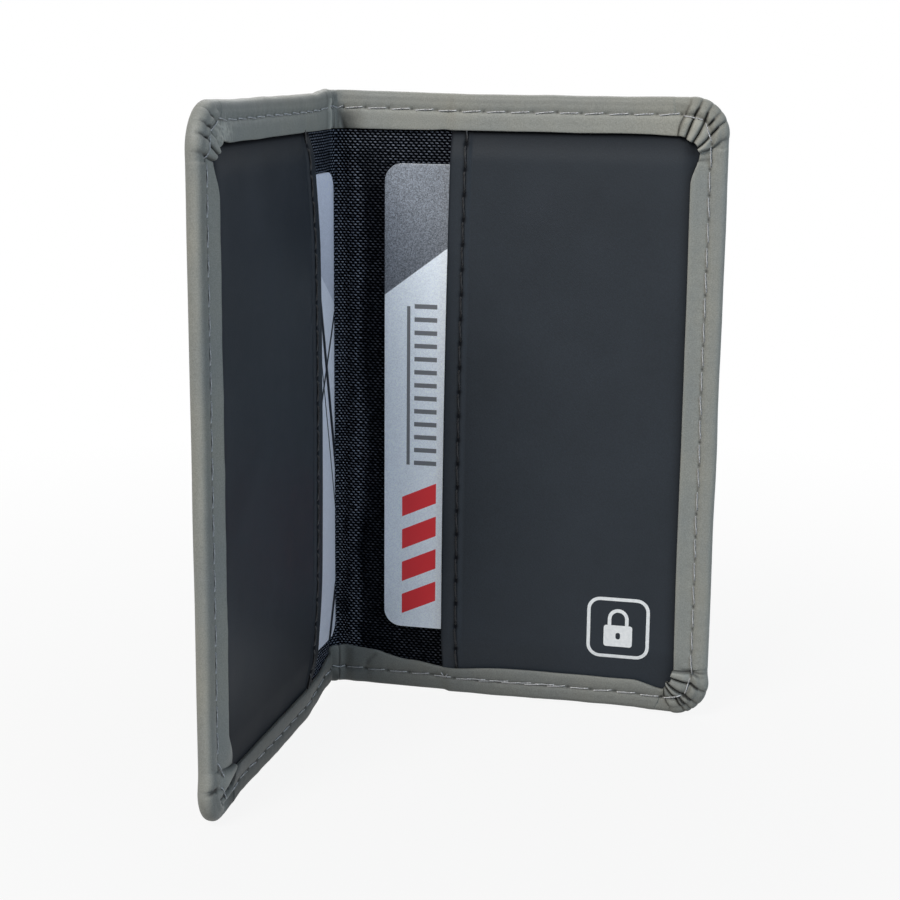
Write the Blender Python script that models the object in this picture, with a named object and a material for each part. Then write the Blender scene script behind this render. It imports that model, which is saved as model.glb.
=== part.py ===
# Folding card holder with a shielding layer, standing open with a card in each pocket. Metres, +Z up.

import math

import bmesh
import bpy
from mathutils import Vector

# Driving dimensions, in metres. A panel is measured from its own hinge axis.
# Cards of the standard size, how far one pushed home lies from the axis, and the room above it.
CARD_WIDTH = 0.0540
CARD_HEIGHT = 0.0856
CARD_THICKNESS = 0.00076
CARD_CORNER = 0.00318
CARD_HOME = 0.0058
CARD_HEADROOM = 0.0034
CARD_PULLS = {"right": 0.0, "left": 0.0058}
CARD_LIFTS = {"right": 0.0016, "left": 0.0001}

# Outline and fold of the holder.
CORNER_RADIUS = 0.0065
SPINE_WIDTH = 0.0068
OPEN_ANGLE_DEG = 90.0
HINGE_DEPTH = 0.0003
BEND_RADIUS = 0.0052

# Thickness of each layer, counted from the outside of the cover to the inside of the holder.
COVER_THICKNESS = 0.0006
BOARD_THICKNESS = 0.0004
FOIL_THICKNESS = 0.00008
LINING_THICKNESS = 0.00015
POCKET_THICKNESS = 0.00040
LAYER_GAP = 0.00007
SEAM_GAP = 0.0003

# Turned edge of the cover.
HEM_WIDTH = 0.0060
HEM_CORNER_RADIUS = 0.0032
ROLL_RADIUS = 0.0010
STEP_RUN = 0.0022
STEP_LEAD = 0.0006
PLEAT_HEIGHT = 0.00050
PLEAT_COUNTS = {"right": (5, 6), "left": (3, 4)}
PLEAT_SPAN_SHARES = (0.13, 0.87)
PLEAT_FADE_SHARE = 0.25
PLEAT_ROUNDNESS = 0.7
PLEAT_SAMPLES = 5
ROLL_STEPS = 3

# Fold between the panels.
BEND_STEPS = 14
FOLD_SQUEEZE = 0.00036
LINING_DIP = 0.00048
TUCK_HEIGHT = 0.00030
TUCK_WIDTH_SHARE = 0.16
TUCK_PLACE_SHARE = 0.34

# Sheets inside the cover, each set in from the panel's outline.
BOARD_INSET = 0.0013
BOARD_START = 0.0022
FOIL_INSET = 0.0017
LINING_INSET = 0.0015
POCKET_INSET = 0.0016

# Pockets: where the free edge lies, and how the sheet climbs from its sewn border over the card.
POCKET_EDGES = {"right": 0.0175, "left": 0.0145}
POCKET_BOWS = {"right": 0.0004, "left": 0.0018}
POCKET_TILTS = {"right": 0.0006, "left": 0.0}
POCKET_STRIP = 0.0031
STRIP_STEP = 0.0004
SKIVE_RUN = 0.0016
SIDE_BORDER = 0.0034
SIDE_CLIMB = 0.0030
END_BORDER = 0.0066
END_CLIMB = 0.0038
CLIMB_STEPS = 3
POCKET_BELLY = 0.00012
POCKET_ROWS = 14
POCKET_COLUMNS = 8

# Sewing threads.
STITCH_PITCH = 0.00435
STITCH_INSET = 0.0029
POCKET_STITCH_INSET = 0.0028
THREAD_RADIUS = 0.00017
THREAD_RISE = 0.00010
THREAD_CLEARANCE = 0.00004

TRIM_OVERRUN = 0.0020
ARC_STEPS = 8

# A panel is as large as the pocket that takes the card.
PANEL_WIDTH = CARD_HOME + CARD_WIDTH + SIDE_CLIMB + SIDE_BORDER
PANEL_HEIGHT = CARD_HEIGHT + CARD_HEADROOM + 2 * (END_CLIMB + END_BORDER)

# Levels of the layers above the outside of the cover, worked out from the thicknesses.
BOARD_LEVEL = COVER_THICKNESS + LAYER_GAP
FOIL_LEVEL = BOARD_LEVEL + BOARD_THICKNESS + LAYER_GAP
LINING_LEVEL = FOIL_LEVEL + FOIL_THICKNESS + LAYER_GAP
CARD_LEVEL = LINING_LEVEL + LINING_THICKNESS + LAYER_GAP
POCKET_LEVEL = CARD_LEVEL + CARD_THICKNESS + LAYER_GAP
HEM_THIN = CARD_LEVEL + COVER_THICKNESS
HEM_THICK = CARD_LEVEL + POCKET_THICKNESS + LAYER_GAP + COVER_THICKNESS

FOLD_ANGLE = math.radians(180.0 - OPEN_ANGLE_DEG)
BEND_REACH = (BEND_RADIUS - HINGE_DEPTH) * math.tan(FOLD_ANGLE / 2) - SPINE_WIDTH / (
    2 * math.cos(FOLD_ANGLE / 2)
)
PANEL_START = BEND_REACH + SEAM_GAP / 2

SHARP_EDGE_ANGLE = math.radians(40.0)

COLOURS = {
    "grey_leather": ((0.27, 0.275, 0.255, 1.0), 0.45, 0.0),
    "black_leather": ((0.036, 0.042, 0.052, 1.0), 0.5, 0.0),
    "black_nylon": ((0.010, 0.011, 0.016, 1.0), 0.6, 0.0),
    "grey_board": ((0.35, 0.33, 0.30, 1.0), 0.8, 0.0),
    "shield_foil": ((0.72, 0.73, 0.74, 1.0), 0.3, 1.0),
    "card_plastic": ((0.36, 0.40, 0.46, 1.0), 0.3, 0.3),
    "grey_thread": ((0.50, 0.50, 0.50, 1.0), 0.7, 0.0),
    "black_thread": ((0.02, 0.02, 0.025, 1.0), 0.7, 0.0),
}


def clear_scene():
    for old in list(bpy.data.objects):
        bpy.data.objects.remove(old, do_unlink=True)


def make_collection(name):
    made = bpy.data.collections.new(name)
    bpy.context.scene.collection.children.link(made)
    return made


def make_material(name):
    colour, roughness, metallic = COLOURS[name]
    made = bpy.data.materials.get(name) or bpy.data.materials.new(name)
    made.use_nodes = True
    shader = made.node_tree.nodes["Principled BSDF"]
    shader.inputs["Base Color"].default_value = colour
    shader.inputs["Roughness"].default_value = roughness
    shader.inputs["Metallic"].default_value = metallic
    return made


def smooth(share):
    """Eases from 0 to 1."""
    share = min(max(share, 0.0), 1.0)
    return share * share * (3.0 - 2.0 * share)


def panel_point(side, along, depth, height):
    """A point of a panel in its hinge frame: along from the axis, depth from the outside of the cover."""
    inward = -1.0 if side == "right" else 1.0
    return Vector((along, inward * (depth - HINGE_DEPTH), height))


def add_object(name, data, material, parent):
    made = bpy.data.objects.new(name, data)
    made.data.materials.append(make_material(material))
    made.parent = parent
    parts.objects.link(made)
    return made


def add_mesh(name, points, faces, material, parent):
    """A closed mesh from points and faces, with its normals turned outwards and its flats sharp."""
    shape = bmesh.new()
    made = [shape.verts.new(point) for point in points]
    for face in faces:
        shape.faces.new([made[index] for index in face])
    bmesh.ops.recalc_face_normals(shape, faces=shape.faces)
    mesh = bpy.data.meshes.new(name)
    shape.to_mesh(mesh)
    shape.free()
    mesh.shade_smooth()
    mesh.set_sharp_from_angle(angle=SHARP_EDGE_ANGLE)
    return add_object(name, mesh, material, parent)


def rounded_outline(low, high, radius, both_sides):
    """Corner points of a flat piece, its far corners rounded, or all four if both_sides."""
    (left, bottom), (right, top) = low, high
    corners = [(right - radius, bottom + radius, -90.0), (right - radius, top - radius, 0.0)]
    if both_sides:
        corners.append((left + radius, top - radius, 90.0))
        corners.append((left + radius, bottom + radius, 180.0))
    outline = []
    for centre_along, centre_height, start in corners:
        for step in range(ARC_STEPS + 1):
            angle = math.radians(start + 90.0 * step / ARC_STEPS)
            outline.append(
                (centre_along + radius * math.cos(angle), centre_height + radius * math.sin(angle))
            )
    if not both_sides:
        outline.append((left, top))
        outline.append((left, bottom))
    return outline


def flat_piece(name, side, outline, level, thickness, material, parent):
    """A sheet cut to an outline, lying at a level in the panel."""
    curve = bpy.data.curves.new(name, "CURVE")
    curve.dimensions = "2D"
    curve.fill_mode = "BOTH"
    curve.extrude = thickness / 2
    spline = curve.splines.new("POLY")
    spline.points.add(len(outline) - 1)
    for point, (along, height) in zip(spline.points, outline):
        point.co = (along, height, 0.0, 1.0)
    spline.use_cyclic_u = True
    made = add_object(name, curve, material, parent)
    made.rotation_euler = (math.radians(90.0), 0.0, 0.0)
    made.location = panel_point(side, 0.0, level + thickness / 2, 0.0)
    return made


def step_start(side):
    """Where the hem starts to climb onto the pocket."""
    return POCKET_EDGES[side] - STEP_LEAD - STEP_RUN


def hem_height(side, along):
    """Thickness of the panel's edge, which steps up where the hem climbs onto the pocket."""
    start = step_start(side)
    return HEM_THIN + (HEM_THICK - HEM_THIN) * smooth((along - start) / STEP_RUN)


def corner_path(length, straight, radius):
    """A point at a length along a straight run, a quarter turn round (0, radius) and another run."""
    turn = radius * math.pi / 2
    if length < straight:
        return (length - straight, 0.0)
    if length < straight + turn:
        angle = (length - straight) / radius
        return (radius * math.sin(angle), radius - radius * math.cos(angle))
    return (radius, length - straight - turn + radius)


def pleat_ridge(share, count):
    """Height share of the gathers: rounded ridges with sharp valleys between them."""
    start, end = PLEAT_SPAN_SHARES
    place = (share - start) / (end - start)
    if place <= 0.0 or place >= 1.0:
        return 0.0
    ridge = abs(math.sin(math.pi * count * place)) ** PLEAT_ROUNDNESS
    return ridge * min(1.0, place / PLEAT_FADE_SHARE, (1.0 - place) / PLEAT_FADE_SHARE)


def corner_stations(count, is_top):
    """Stations of one gathered corner, from the bottom or side run to the next."""
    straight = HEM_CORNER_RADIUS + HEM_WIDTH - CORNER_RADIUS + ROLL_RADIUS
    inner_straight = straight + CORNER_RADIUS - HEM_WIDTH - HEM_CORNER_RADIUS
    outer_length = 2 * straight + CORNER_RADIUS * math.pi / 2
    inner_length = 2 * inner_straight + HEM_CORNER_RADIUS * math.pi / 2
    steps = count * PLEAT_SAMPLES + PLEAT_SAMPLES
    found = []
    for step in range(steps + 1):
        share = step / steps
        x, y = corner_path(share * outer_length, straight, CORNER_RADIUS)
        outer = (PANEL_WIDTH - CORNER_RADIUS + x, y)
        x, y = corner_path(share * inner_length, inner_straight, HEM_CORNER_RADIUS)
        inner = (PANEL_WIDTH - HEM_WIDTH - HEM_CORNER_RADIUS + x, HEM_WIDTH + y)
        found.append((outer, inner, HEM_THICK, pleat_ridge(share, count)))
    if is_top:
        found = [(flip(outer), flip(inner), deep, ridge) for outer, inner, deep, ridge in found]
        found.reverse()
    return found


def flip(point):
    """The same place counted from the top edge."""
    return (point[0], PANEL_HEIGHT - point[1])


def edge_stations(side):
    """Stations round the outline: the outer point, the hem's inner point, the thickness and the gather."""
    start = step_start(side)
    alongs = [PANEL_START] + [start + STEP_RUN * step / CLIMB_STEPS for step in range(CLIMB_STEPS + 1)]
    bottom = [((x, 0.0), (x, HEM_WIDTH), hem_height(side, x), 0.0) for x in alongs]
    top = [(flip(outer), flip(inner), deep, ridge) for outer, inner, deep, ridge in bottom]
    top.reverse()
    first, second = PLEAT_COUNTS[side]
    rows = even_rows()
    heights = rows[:1] + rows[1:-1:2] + rows[-1:]
    run = [((PANEL_WIDTH, z), (PANEL_WIDTH - HEM_WIDTH, z), HEM_THICK, 0.0) for z in heights]
    return bottom + corner_stations(first, False) + run + corner_stations(second, True) + top


def hem_section(thickness, ridge):
    """Closed section of the turned edge as (inset, depth): the outside first, then back along the inside."""
    outside = []
    for step in range(ROLL_STEPS + 1):
        angle = math.pi / 2 * step / ROLL_STEPS
        outside.append((ROLL_RADIUS * (1 - math.sin(angle)), ROLL_RADIUS * (1 - math.cos(angle))))
    for step in range(ROLL_STEPS + 1):
        angle = math.pi / 2 * step / ROLL_STEPS
        outside.append(
            (ROLL_RADIUS * (1 - math.cos(angle)), thickness - ROLL_RADIUS * (1 - math.sin(angle)))
        )
    outside.append((STITCH_INSET, thickness))
    climb = [inset for inset in climb_places(SIDE_BORDER, SIDE_CLIMB) if inset < HEM_WIDTH]
    climb.append(HEM_WIDTH)
    outside += [(inset, thickness) for inset in climb]
    raised = []
    for inset, depth in outside:
        if depth > thickness - ROLL_RADIUS:
            depth += ridge * PLEAT_HEIGHT * smooth(inset / STITCH_INSET)
        raised.append((inset, depth))
    inside = [(inset, thickness - COVER_THICKNESS) for inset in reversed(climb)]
    inside += [
        (ROLL_RADIUS, thickness - COVER_THICKNESS),
        (COVER_THICKNESS, thickness - ROLL_RADIUS),
        (COVER_THICKNESS, ROLL_RADIUS),
        (ROLL_RADIUS, COVER_THICKNESS),
    ]
    return raised + inside


def between(outer, inner, inset):
    """The place at an inset on the line from the outline to the hem's inner edge."""
    return Vector(outer).lerp(Vector(inner), inset / HEM_WIDTH)


def panel_cover(side, parent):
    """Outer skin of a panel in one piece with its turned edge and gathered corners."""
    points = []
    stations = edge_stations(side)
    for outer, inner, thickness, ridge in stations:
        section = hem_section(thickness, ridge)
        for inset, depth in section:
            along, height = between(outer, inner, inset)
            if inset >= SIDE_BORDER:
                depth += pocket_level(along, height) - CARD_LEVEL
            points.append(panel_point(side, along, depth, height))
    ring = len(hem_section(HEM_THICK, 0.0))
    last = (len(stations) - 1) * ring
    faces = []
    for station in range(len(stations) - 1):
        base = station * ring
        for index in range(ring - 1):
            faces.append((base + index, base + index + 1, base + ring + index + 1, base + ring + index))
    faces.append(tuple(range(ring)))
    faces.append(tuple(last + index for index in range(ring)))
    outside = tuple(station * ring for station in range(len(stations)))
    inside = tuple(station * ring + ring - 1 for station in range(len(stations)))
    faces.append(outside)
    faces.append(inside)
    faces.append((outside[0], inside[0], inside[-1], outside[-1]))
    return add_mesh("cover_" + side, points, faces, "grey_leather", parent)


def sheet_outline(start, inset):
    """Outline of a sheet that fills a panel from a start line, set in from the edge all round."""
    return rounded_outline(
        (start, inset),
        (PANEL_WIDTH - inset, PANEL_HEIGHT - inset),
        CORNER_RADIUS - inset,
        False,
    )


def panel_board(side, parent):
    outline = sheet_outline(BOARD_START, BOARD_INSET)
    return flat_piece(
        "board_" + side, side, outline, BOARD_LEVEL, BOARD_THICKNESS, "grey_board", parent
    )


def panel_foil(side, parent):
    outline = sheet_outline(PANEL_START, FOIL_INSET)
    return flat_piece(
        "shield_foil_" + side, side, outline, FOIL_LEVEL, FOIL_THICKNESS, "shield_foil", parent
    )


def panel_lining(side, parent):
    outline = sheet_outline(PANEL_START, LINING_INSET)
    return flat_piece(
        "lining_" + side, side, outline, LINING_LEVEL, LINING_THICKNESS, "black_nylon", parent
    )


def card(side, parent):
    start = CARD_HOME - CARD_PULLS[side]
    bottom = END_BORDER + END_CLIMB + CARD_LIFTS[side]
    outline = rounded_outline(
        (start, bottom), (start + CARD_WIDTH, bottom + CARD_HEIGHT), CARD_CORNER, True
    )
    return flat_piece(
        "card_" + side, side, outline, CARD_LEVEL, CARD_THICKNESS, "card_plastic", parent
    )


def climb_places(border, run):
    """Insets at which a climb is sampled, from the border to its top."""
    return [border + run * step / CLIMB_STEPS for step in range(CLIMB_STEPS + 1)]


def pocket_edge(side, height):
    """The free edge, which bows towards the fold between its sewn ends."""
    middle = PANEL_HEIGHT / 2
    share = (height - middle) / middle
    bow = POCKET_BOWS[side] * (1.0 - share * share)
    return POCKET_EDGES[side] + POCKET_TILTS[side] * share - bow


def pocket_level(along, height):
    """Depth of the underside of the pocket: it climbs from its sewn border to lie over the card."""
    end_inset = min(height, PANEL_HEIGHT - height)
    climb = smooth((end_inset - END_BORDER) / END_CLIMB)
    climb *= smooth((PANEL_WIDTH - along - SIDE_BORDER) / SIDE_CLIMB)
    middle = PANEL_HEIGHT / 2
    belly = POCKET_BELLY * (1.0 - ((height - middle) / middle) ** 2)
    return CARD_LEVEL + (POCKET_LEVEL - CARD_LEVEL + belly) * climb


def strip_fold(height):
    """Thickness that the folded strip adds along the free edge. It is pared away under the hem."""
    end_inset = min(height, PANEL_HEIGHT - height)
    return POCKET_THICKNESS * smooth((end_inset - HEM_WIDTH) / SKIVE_RUN)


def even_rows():
    """Heights of the pocket's rows between its climbs at the bottom and top."""
    first = END_BORDER + END_CLIMB
    run = PANEL_HEIGHT - 2 * first
    return [first + run * step / POCKET_ROWS for step in range(POCKET_ROWS + 1)]


def pocket_rows():
    """Heights of all the pocket's rows: close together where it climbs, even between."""
    low = [0.0, HEM_WIDTH, HEM_WIDTH + SKIVE_RUN] + climb_places(END_BORDER, END_CLIMB)[:-1]
    low.sort()
    return low + even_rows() + [PANEL_HEIGHT - place for place in reversed(low)]


def pocket_columns(side):
    """Offsets of the pocket's columns from its free edge, the folded strip first."""
    reach = PANEL_WIDTH - POCKET_EDGES[side]
    start = POCKET_STRIP + STRIP_STEP
    climb = [reach - place for place in reversed(climb_places(SIDE_BORDER, SIDE_CLIMB))]
    run = climb[0] - start
    even = [start + run * step / POCKET_COLUMNS for step in range(POCKET_COLUMNS)]
    return [0.0, POCKET_STRIP] + even + climb + [reach]


def pocket_trim(side, parent):
    """Cutter with the pocket's rounded outline, which trims the corners of its grid."""
    outline = sheet_outline(0.0, POCKET_INSET)
    low = CARD_LEVEL - TRIM_OVERRUN
    tall = 2 * TRIM_OVERRUN + HEM_THICK + POCKET_THICKNESS
    points = [panel_point(side, along, low, height) for along, height in outline]
    points += [panel_point(side, along, low + tall, height) for along, height in outline]
    count = len(outline)
    faces = [tuple(range(count)), tuple(range(count, 2 * count))]
    for index in range(count):
        after = (index + 1) % count
        faces.append((index, after, count + after, count + index))
    made = add_mesh("trim_" + side, points, faces, "black_leather", parent)
    parts.objects.unlink(made)
    cutters.objects.link(made)
    made.hide_render = True
    made.display_type = "WIRE"
    return made


def pocket(side, parent):
    """Pocket sheet: sewn down round three sides, lying over the card, its free edge folded double."""
    columns = pocket_columns(side)
    rows = pocket_rows()
    points = []
    for height in rows:
        edge = pocket_edge(side, height)
        for offset in columns:
            pull = smooth((columns[-1] - SIDE_BORDER - SIDE_CLIMB - offset) / POCKET_EDGES[side])
            along = POCKET_EDGES[side] + offset + (edge - POCKET_EDGES[side]) * pull
            low = pocket_level(along, height)
            folded = strip_fold(height) if offset <= POCKET_STRIP else 0.0
            points.append(panel_point(side, along, low, height))
            points.append(panel_point(side, along, low + POCKET_THICKNESS + folded, height))
    faces = sheet_faces(len(rows), len(columns))
    made = add_mesh("pocket_" + side, points, faces, "black_leather", parent)
    cut = made.modifiers.new("rounded corners", "BOOLEAN")
    cut.operation = "INTERSECT"
    cut.object = pocket_trim(side, parent)
    return made


def sheet_faces(row_count, column_count):
    """Faces of a sheet whose points come in pairs, underside then top, row by row."""
    def low(row, column):
        return 2 * (row * column_count + column)

    def high(row, column):
        return low(row, column) + 1

    faces = []
    for row in range(row_count - 1):
        for column in range(column_count - 1):
            for level in (low, high):
                faces.append(
                    (
                        level(row, column),
                        level(row, column + 1),
                        level(row + 1, column + 1),
                        level(row + 1, column),
                    )
                )
    for row in range(row_count - 1):
        for column in (0, column_count - 1):
            faces.append(
                (low(row, column), low(row + 1, column), high(row + 1, column), high(row, column))
            )
    for column in range(column_count - 1):
        for row in (0, row_count - 1):
            faces.append(
                (low(row, column), low(row, column + 1), high(row, column + 1), high(row, column))
            )
    return faces


def bend_point(share, depth, height):
    """A point of the bend in the right hinge's frame: share runs from the right panel to the left one."""
    trim = SEAM_GAP / 2 / (BEND_RADIUS - HINGE_DEPTH)
    angle = trim + (FOLD_ANGLE - 2 * trim) * share
    radius = BEND_RADIUS - depth
    centre = Vector((BEND_REACH, HINGE_DEPTH - BEND_RADIUS, 0.0))
    return centre + Vector((-radius * math.sin(angle), radius * math.cos(angle), height))


def bend_hem(share):
    """Thickness of the edge across the bend: squeezed in the middle, with one tuck of surplus skin."""
    squeeze = FOLD_SQUEEZE * math.sin(math.pi * share) ** 2
    tuck = max(0.0, 1.0 - abs(share - TUCK_PLACE_SHARE) / TUCK_WIDTH_SHARE)
    return HEM_THIN - squeeze, tuck


def bend_cover(parent):
    """Skin of the fold, with the turned edge at its top and bottom."""
    sections = []
    for step in range(BEND_STEPS + 1):
        share = step / BEND_STEPS
        thickness, tuck = bend_hem(share)
        section = hem_section(thickness, tuck * TUCK_HEIGHT / PLEAT_HEIGHT)
        ring = [(depth, inset) for inset, depth in section]
        ring += [(depth, PANEL_HEIGHT - inset) for inset, depth in reversed(section)]
        sections.append([bend_point(share, depth, height) for depth, height in ring])
    return bend_loft("cover_spine", sections, "grey_leather", parent)


def bend_loft(name, sections, material, parent):
    """A closed loft through sections round the bend, given in the right hinge's frame."""
    count = len(sections[0])
    points = [point for section in sections for point in section]
    faces = [tuple(range(count)), tuple((len(sections) - 1) * count + i for i in range(count))]
    for station in range(len(sections) - 1):
        base = station * count
        for index in range(count):
            after = (index + 1) % count
            faces.append((base + index, base + after, base + count + after, base + count + index))
    made = add_mesh(name, points, faces, material, parent)
    made.rotation_euler = (0.0, 0.0, -FOLD_ANGLE / 2)
    return made


def bend_sheet(name, level, thickness, inset, material, parent):
    """A sheet that follows the bend, dipping where no board lies under it."""
    sections = []
    for step in range(BEND_STEPS + 1):
        share = step / BEND_STEPS
        low = level - LINING_DIP * math.sin(math.pi * share) ** 2
        top = PANEL_HEIGHT - inset
        corners = [(low, inset), (low + thickness, inset), (low + thickness, top), (low, top)]
        sections.append([bend_point(share, depth, height) for depth, height in corners])
    return bend_loft(name, sections, material, parent)


def thread(name, path, material, parent):
    """A sewing thread that dips to the needle hole at each end of a stitch."""
    curve = bpy.data.curves.new(name, "CURVE")
    curve.dimensions = "3D"
    curve.bevel_depth = THREAD_RADIUS
    curve.bevel_resolution = 1
    curve.use_fill_caps = True
    spline = curve.splines.new("POLY")
    spline.points.add(len(path) - 1)
    for point, place in zip(spline.points, path):
        point.co = (place[0], place[1], place[2], 1.0)
    return add_object(name, curve, material, parent)


def thread_depth(surface, index):
    """Depth of the thread's middle: high halfway along a stitch, low at its holes."""
    rise = THREAD_RISE if index % 2 else 0.0
    return surface + THREAD_CLEARANCE + THREAD_RADIUS + rise


def edge_thread_route(side):
    """Places of the stitch line round a panel at even steps of half a stitch, with the surface under each."""
    line = []
    for outer, inner, thickness, ridge in edge_stations(side):
        place = between(outer, inner, STITCH_INSET)
        line.append((place, thickness, ridge))
    lengths = [0.0]
    for before, after in zip(line, line[1:]):
        lengths.append(lengths[-1] + (after[0] - before[0]).length)
    count = round(lengths[-1] / (STITCH_PITCH / 2))
    count += count % 2
    route = []
    segment = 0
    for index in range(count + 1):
        wanted = lengths[-1] * index / count
        while segment < len(line) - 2 and lengths[segment + 1] < wanted:
            segment += 1
        run = lengths[segment + 1] - lengths[segment]
        share = (wanted - lengths[segment]) / run
        place = line[segment][0].lerp(line[segment + 1][0], share)
        near = [line[segment], line[segment + 1]]
        near += [item for item in line if (item[0] - place).length < STITCH_PITCH / 2]
        route.append((place, max(deep + PLEAT_HEIGHT * (ridge > 0.0) for _, deep, ridge in near)))
    return route


def edge_thread(side, parent):
    path = []
    for index, (place, surface) in enumerate(edge_thread_route(side)):
        depth = thread_depth(surface, index)
        path.append(panel_point(side, place[0], depth, place[1]))
    ends = (path[0], path[-1])
    for end, near in zip(ends, (path[1], path[-2])):
        end.x += THREAD_RADIUS * math.copysign(1.0, near.x - end.x)
    return thread("edge_thread_" + side, path, "grey_thread", parent)


def pocket_thread(side, parent):
    """Thread that holds the pocket's folded edge, from hem to hem."""
    low = HEM_WIDTH + THREAD_RADIUS + LAYER_GAP
    high = PANEL_HEIGHT - low
    count = 2 * round((high - low) / STITCH_PITCH)
    path = []
    for index in range(count + 1):
        height = low + (high - low) * index / count
        edge = pocket_edge(side, height)
        along = edge + POCKET_STITCH_INSET
        surface = pocket_level(along, height) + POCKET_THICKNESS + strip_fold(height)
        path.append(panel_point(side, along, thread_depth(surface, index), height))
    return thread("pocket_thread_" + side, path, "black_thread", parent)


def bend_thread(name, is_top, parent):
    """The edge seam where it crosses the fold."""
    count = 2 * max(1, round((BEND_RADIUS * FOLD_ANGLE) / STITCH_PITCH))
    height = PANEL_HEIGHT - STITCH_INSET if is_top else STITCH_INSET
    margin = THREAD_RADIUS / (BEND_RADIUS * FOLD_ANGLE)
    path = []
    for index in range(count + 1):
        share = margin + (1 - 2 * margin) * index / count
        depth = thread_depth(HEM_THIN + TUCK_HEIGHT, index)
        path.append(bend_point(share, depth, height))
    made = thread(name, path, "grey_thread", parent)
    made.rotation_euler = (0.0, 0.0, -FOLD_ANGLE / 2)
    return made


def make_joint(name, parent, place, turn):
    """An empty on a hinge's axis, which carries the pieces of one body."""
    made = bpy.data.objects.new(name, None)
    made.parent = parent
    made.location = place
    made.rotation_euler = (0.0, 0.0, turn)
    parts.objects.link(made)
    return made


def make_panel(side, parent):
    panel_cover(side, parent)
    panel_board(side, parent)
    panel_foil(side, parent)
    panel_lining(side, parent)
    pocket(side, parent)
    card(side, parent)
    edge_thread(side, parent)
    pocket_thread(side, parent)


def make_spine(parent):
    bend_cover(parent)
    bend_sheet("shield_foil_spine", FOIL_LEVEL, FOIL_THICKNESS, FOIL_INSET, "shield_foil", parent)
    bend_sheet("lining_spine", LINING_LEVEL, LINING_THICKNESS, LINING_INSET, "black_nylon", parent)
    bend_thread("spine_thread_top", True, parent)
    bend_thread("spine_thread_bottom", False, parent)


def stand_on_origin(root):
    """Moves the holder so that the middle of its box's bottom is at the origin."""
    bpy.context.view_layer.update()
    graph = bpy.context.evaluated_depsgraph_get()
    lows = [math.inf] * 3
    highs = [-math.inf] * 3
    for item in parts.objects:
        if item.type == "EMPTY":
            continue
        evaluated = item.evaluated_get(graph)
        mesh = evaluated.to_mesh()
        for vertex in mesh.vertices:
            place = evaluated.matrix_world @ vertex.co
            for axis in range(3):
                lows[axis] = min(lows[axis], place[axis])
                highs[axis] = max(highs[axis], place[axis])
        evaluated.to_mesh_clear()
    root.location = (-(lows[0] + highs[0]) / 2, -(lows[1] + highs[1]) / 2, -lows[2])
    print("box", [round(high - low, 5) for low, high in zip(lows, highs)])


clear_scene()
parts = make_collection("card_holder")
cutters = make_collection("cutters")
holder = make_joint("holder", None, (0.0, 0.0, 0.0), 0.0)
right_panel = make_joint("right_panel", holder, (0.0, 0.0, 0.0), 0.0)
spine = make_joint("spine", right_panel, (0.0, 0.0, 0.0), FOLD_ANGLE / 2)
left_panel = make_joint("left_panel", spine, (-SPINE_WIDTH, 0.0, 0.0), math.pi + FOLD_ANGLE / 2)
make_panel("right", right_panel)
make_panel("left", left_panel)
make_spine(spine)
stand_on_origin(holder)
bpy.context.view_layer.update()
for joint in (right_panel, left_panel):
    print(joint.name, "axis at", [round(value, 6) for value in joint.matrix_world.translation])
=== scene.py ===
import math

import bmesh
import bpy
from mathutils import Matrix, Vector, noise


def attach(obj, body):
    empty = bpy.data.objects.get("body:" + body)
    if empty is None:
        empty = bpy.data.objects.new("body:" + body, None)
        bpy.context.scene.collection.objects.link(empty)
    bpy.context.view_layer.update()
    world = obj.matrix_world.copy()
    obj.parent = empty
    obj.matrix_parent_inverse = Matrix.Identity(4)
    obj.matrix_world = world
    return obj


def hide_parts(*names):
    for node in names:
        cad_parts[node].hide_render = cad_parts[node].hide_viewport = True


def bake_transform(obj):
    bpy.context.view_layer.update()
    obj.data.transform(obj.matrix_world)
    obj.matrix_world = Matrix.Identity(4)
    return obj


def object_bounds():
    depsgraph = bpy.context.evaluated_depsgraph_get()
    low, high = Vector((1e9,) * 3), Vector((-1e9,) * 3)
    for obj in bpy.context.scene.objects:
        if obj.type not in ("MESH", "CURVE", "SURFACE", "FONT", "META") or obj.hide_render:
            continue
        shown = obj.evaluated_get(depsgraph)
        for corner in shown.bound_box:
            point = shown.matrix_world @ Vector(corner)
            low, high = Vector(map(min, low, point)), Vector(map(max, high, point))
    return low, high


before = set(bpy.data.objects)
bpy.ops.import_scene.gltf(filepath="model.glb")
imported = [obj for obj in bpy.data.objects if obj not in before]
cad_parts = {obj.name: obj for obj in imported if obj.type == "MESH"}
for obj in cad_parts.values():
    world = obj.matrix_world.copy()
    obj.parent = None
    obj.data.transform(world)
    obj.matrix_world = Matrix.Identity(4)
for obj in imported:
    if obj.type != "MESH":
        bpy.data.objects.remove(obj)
cadBox = [list(corner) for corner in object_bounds()]
print("frame loaded")

mm = 0.001

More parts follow.
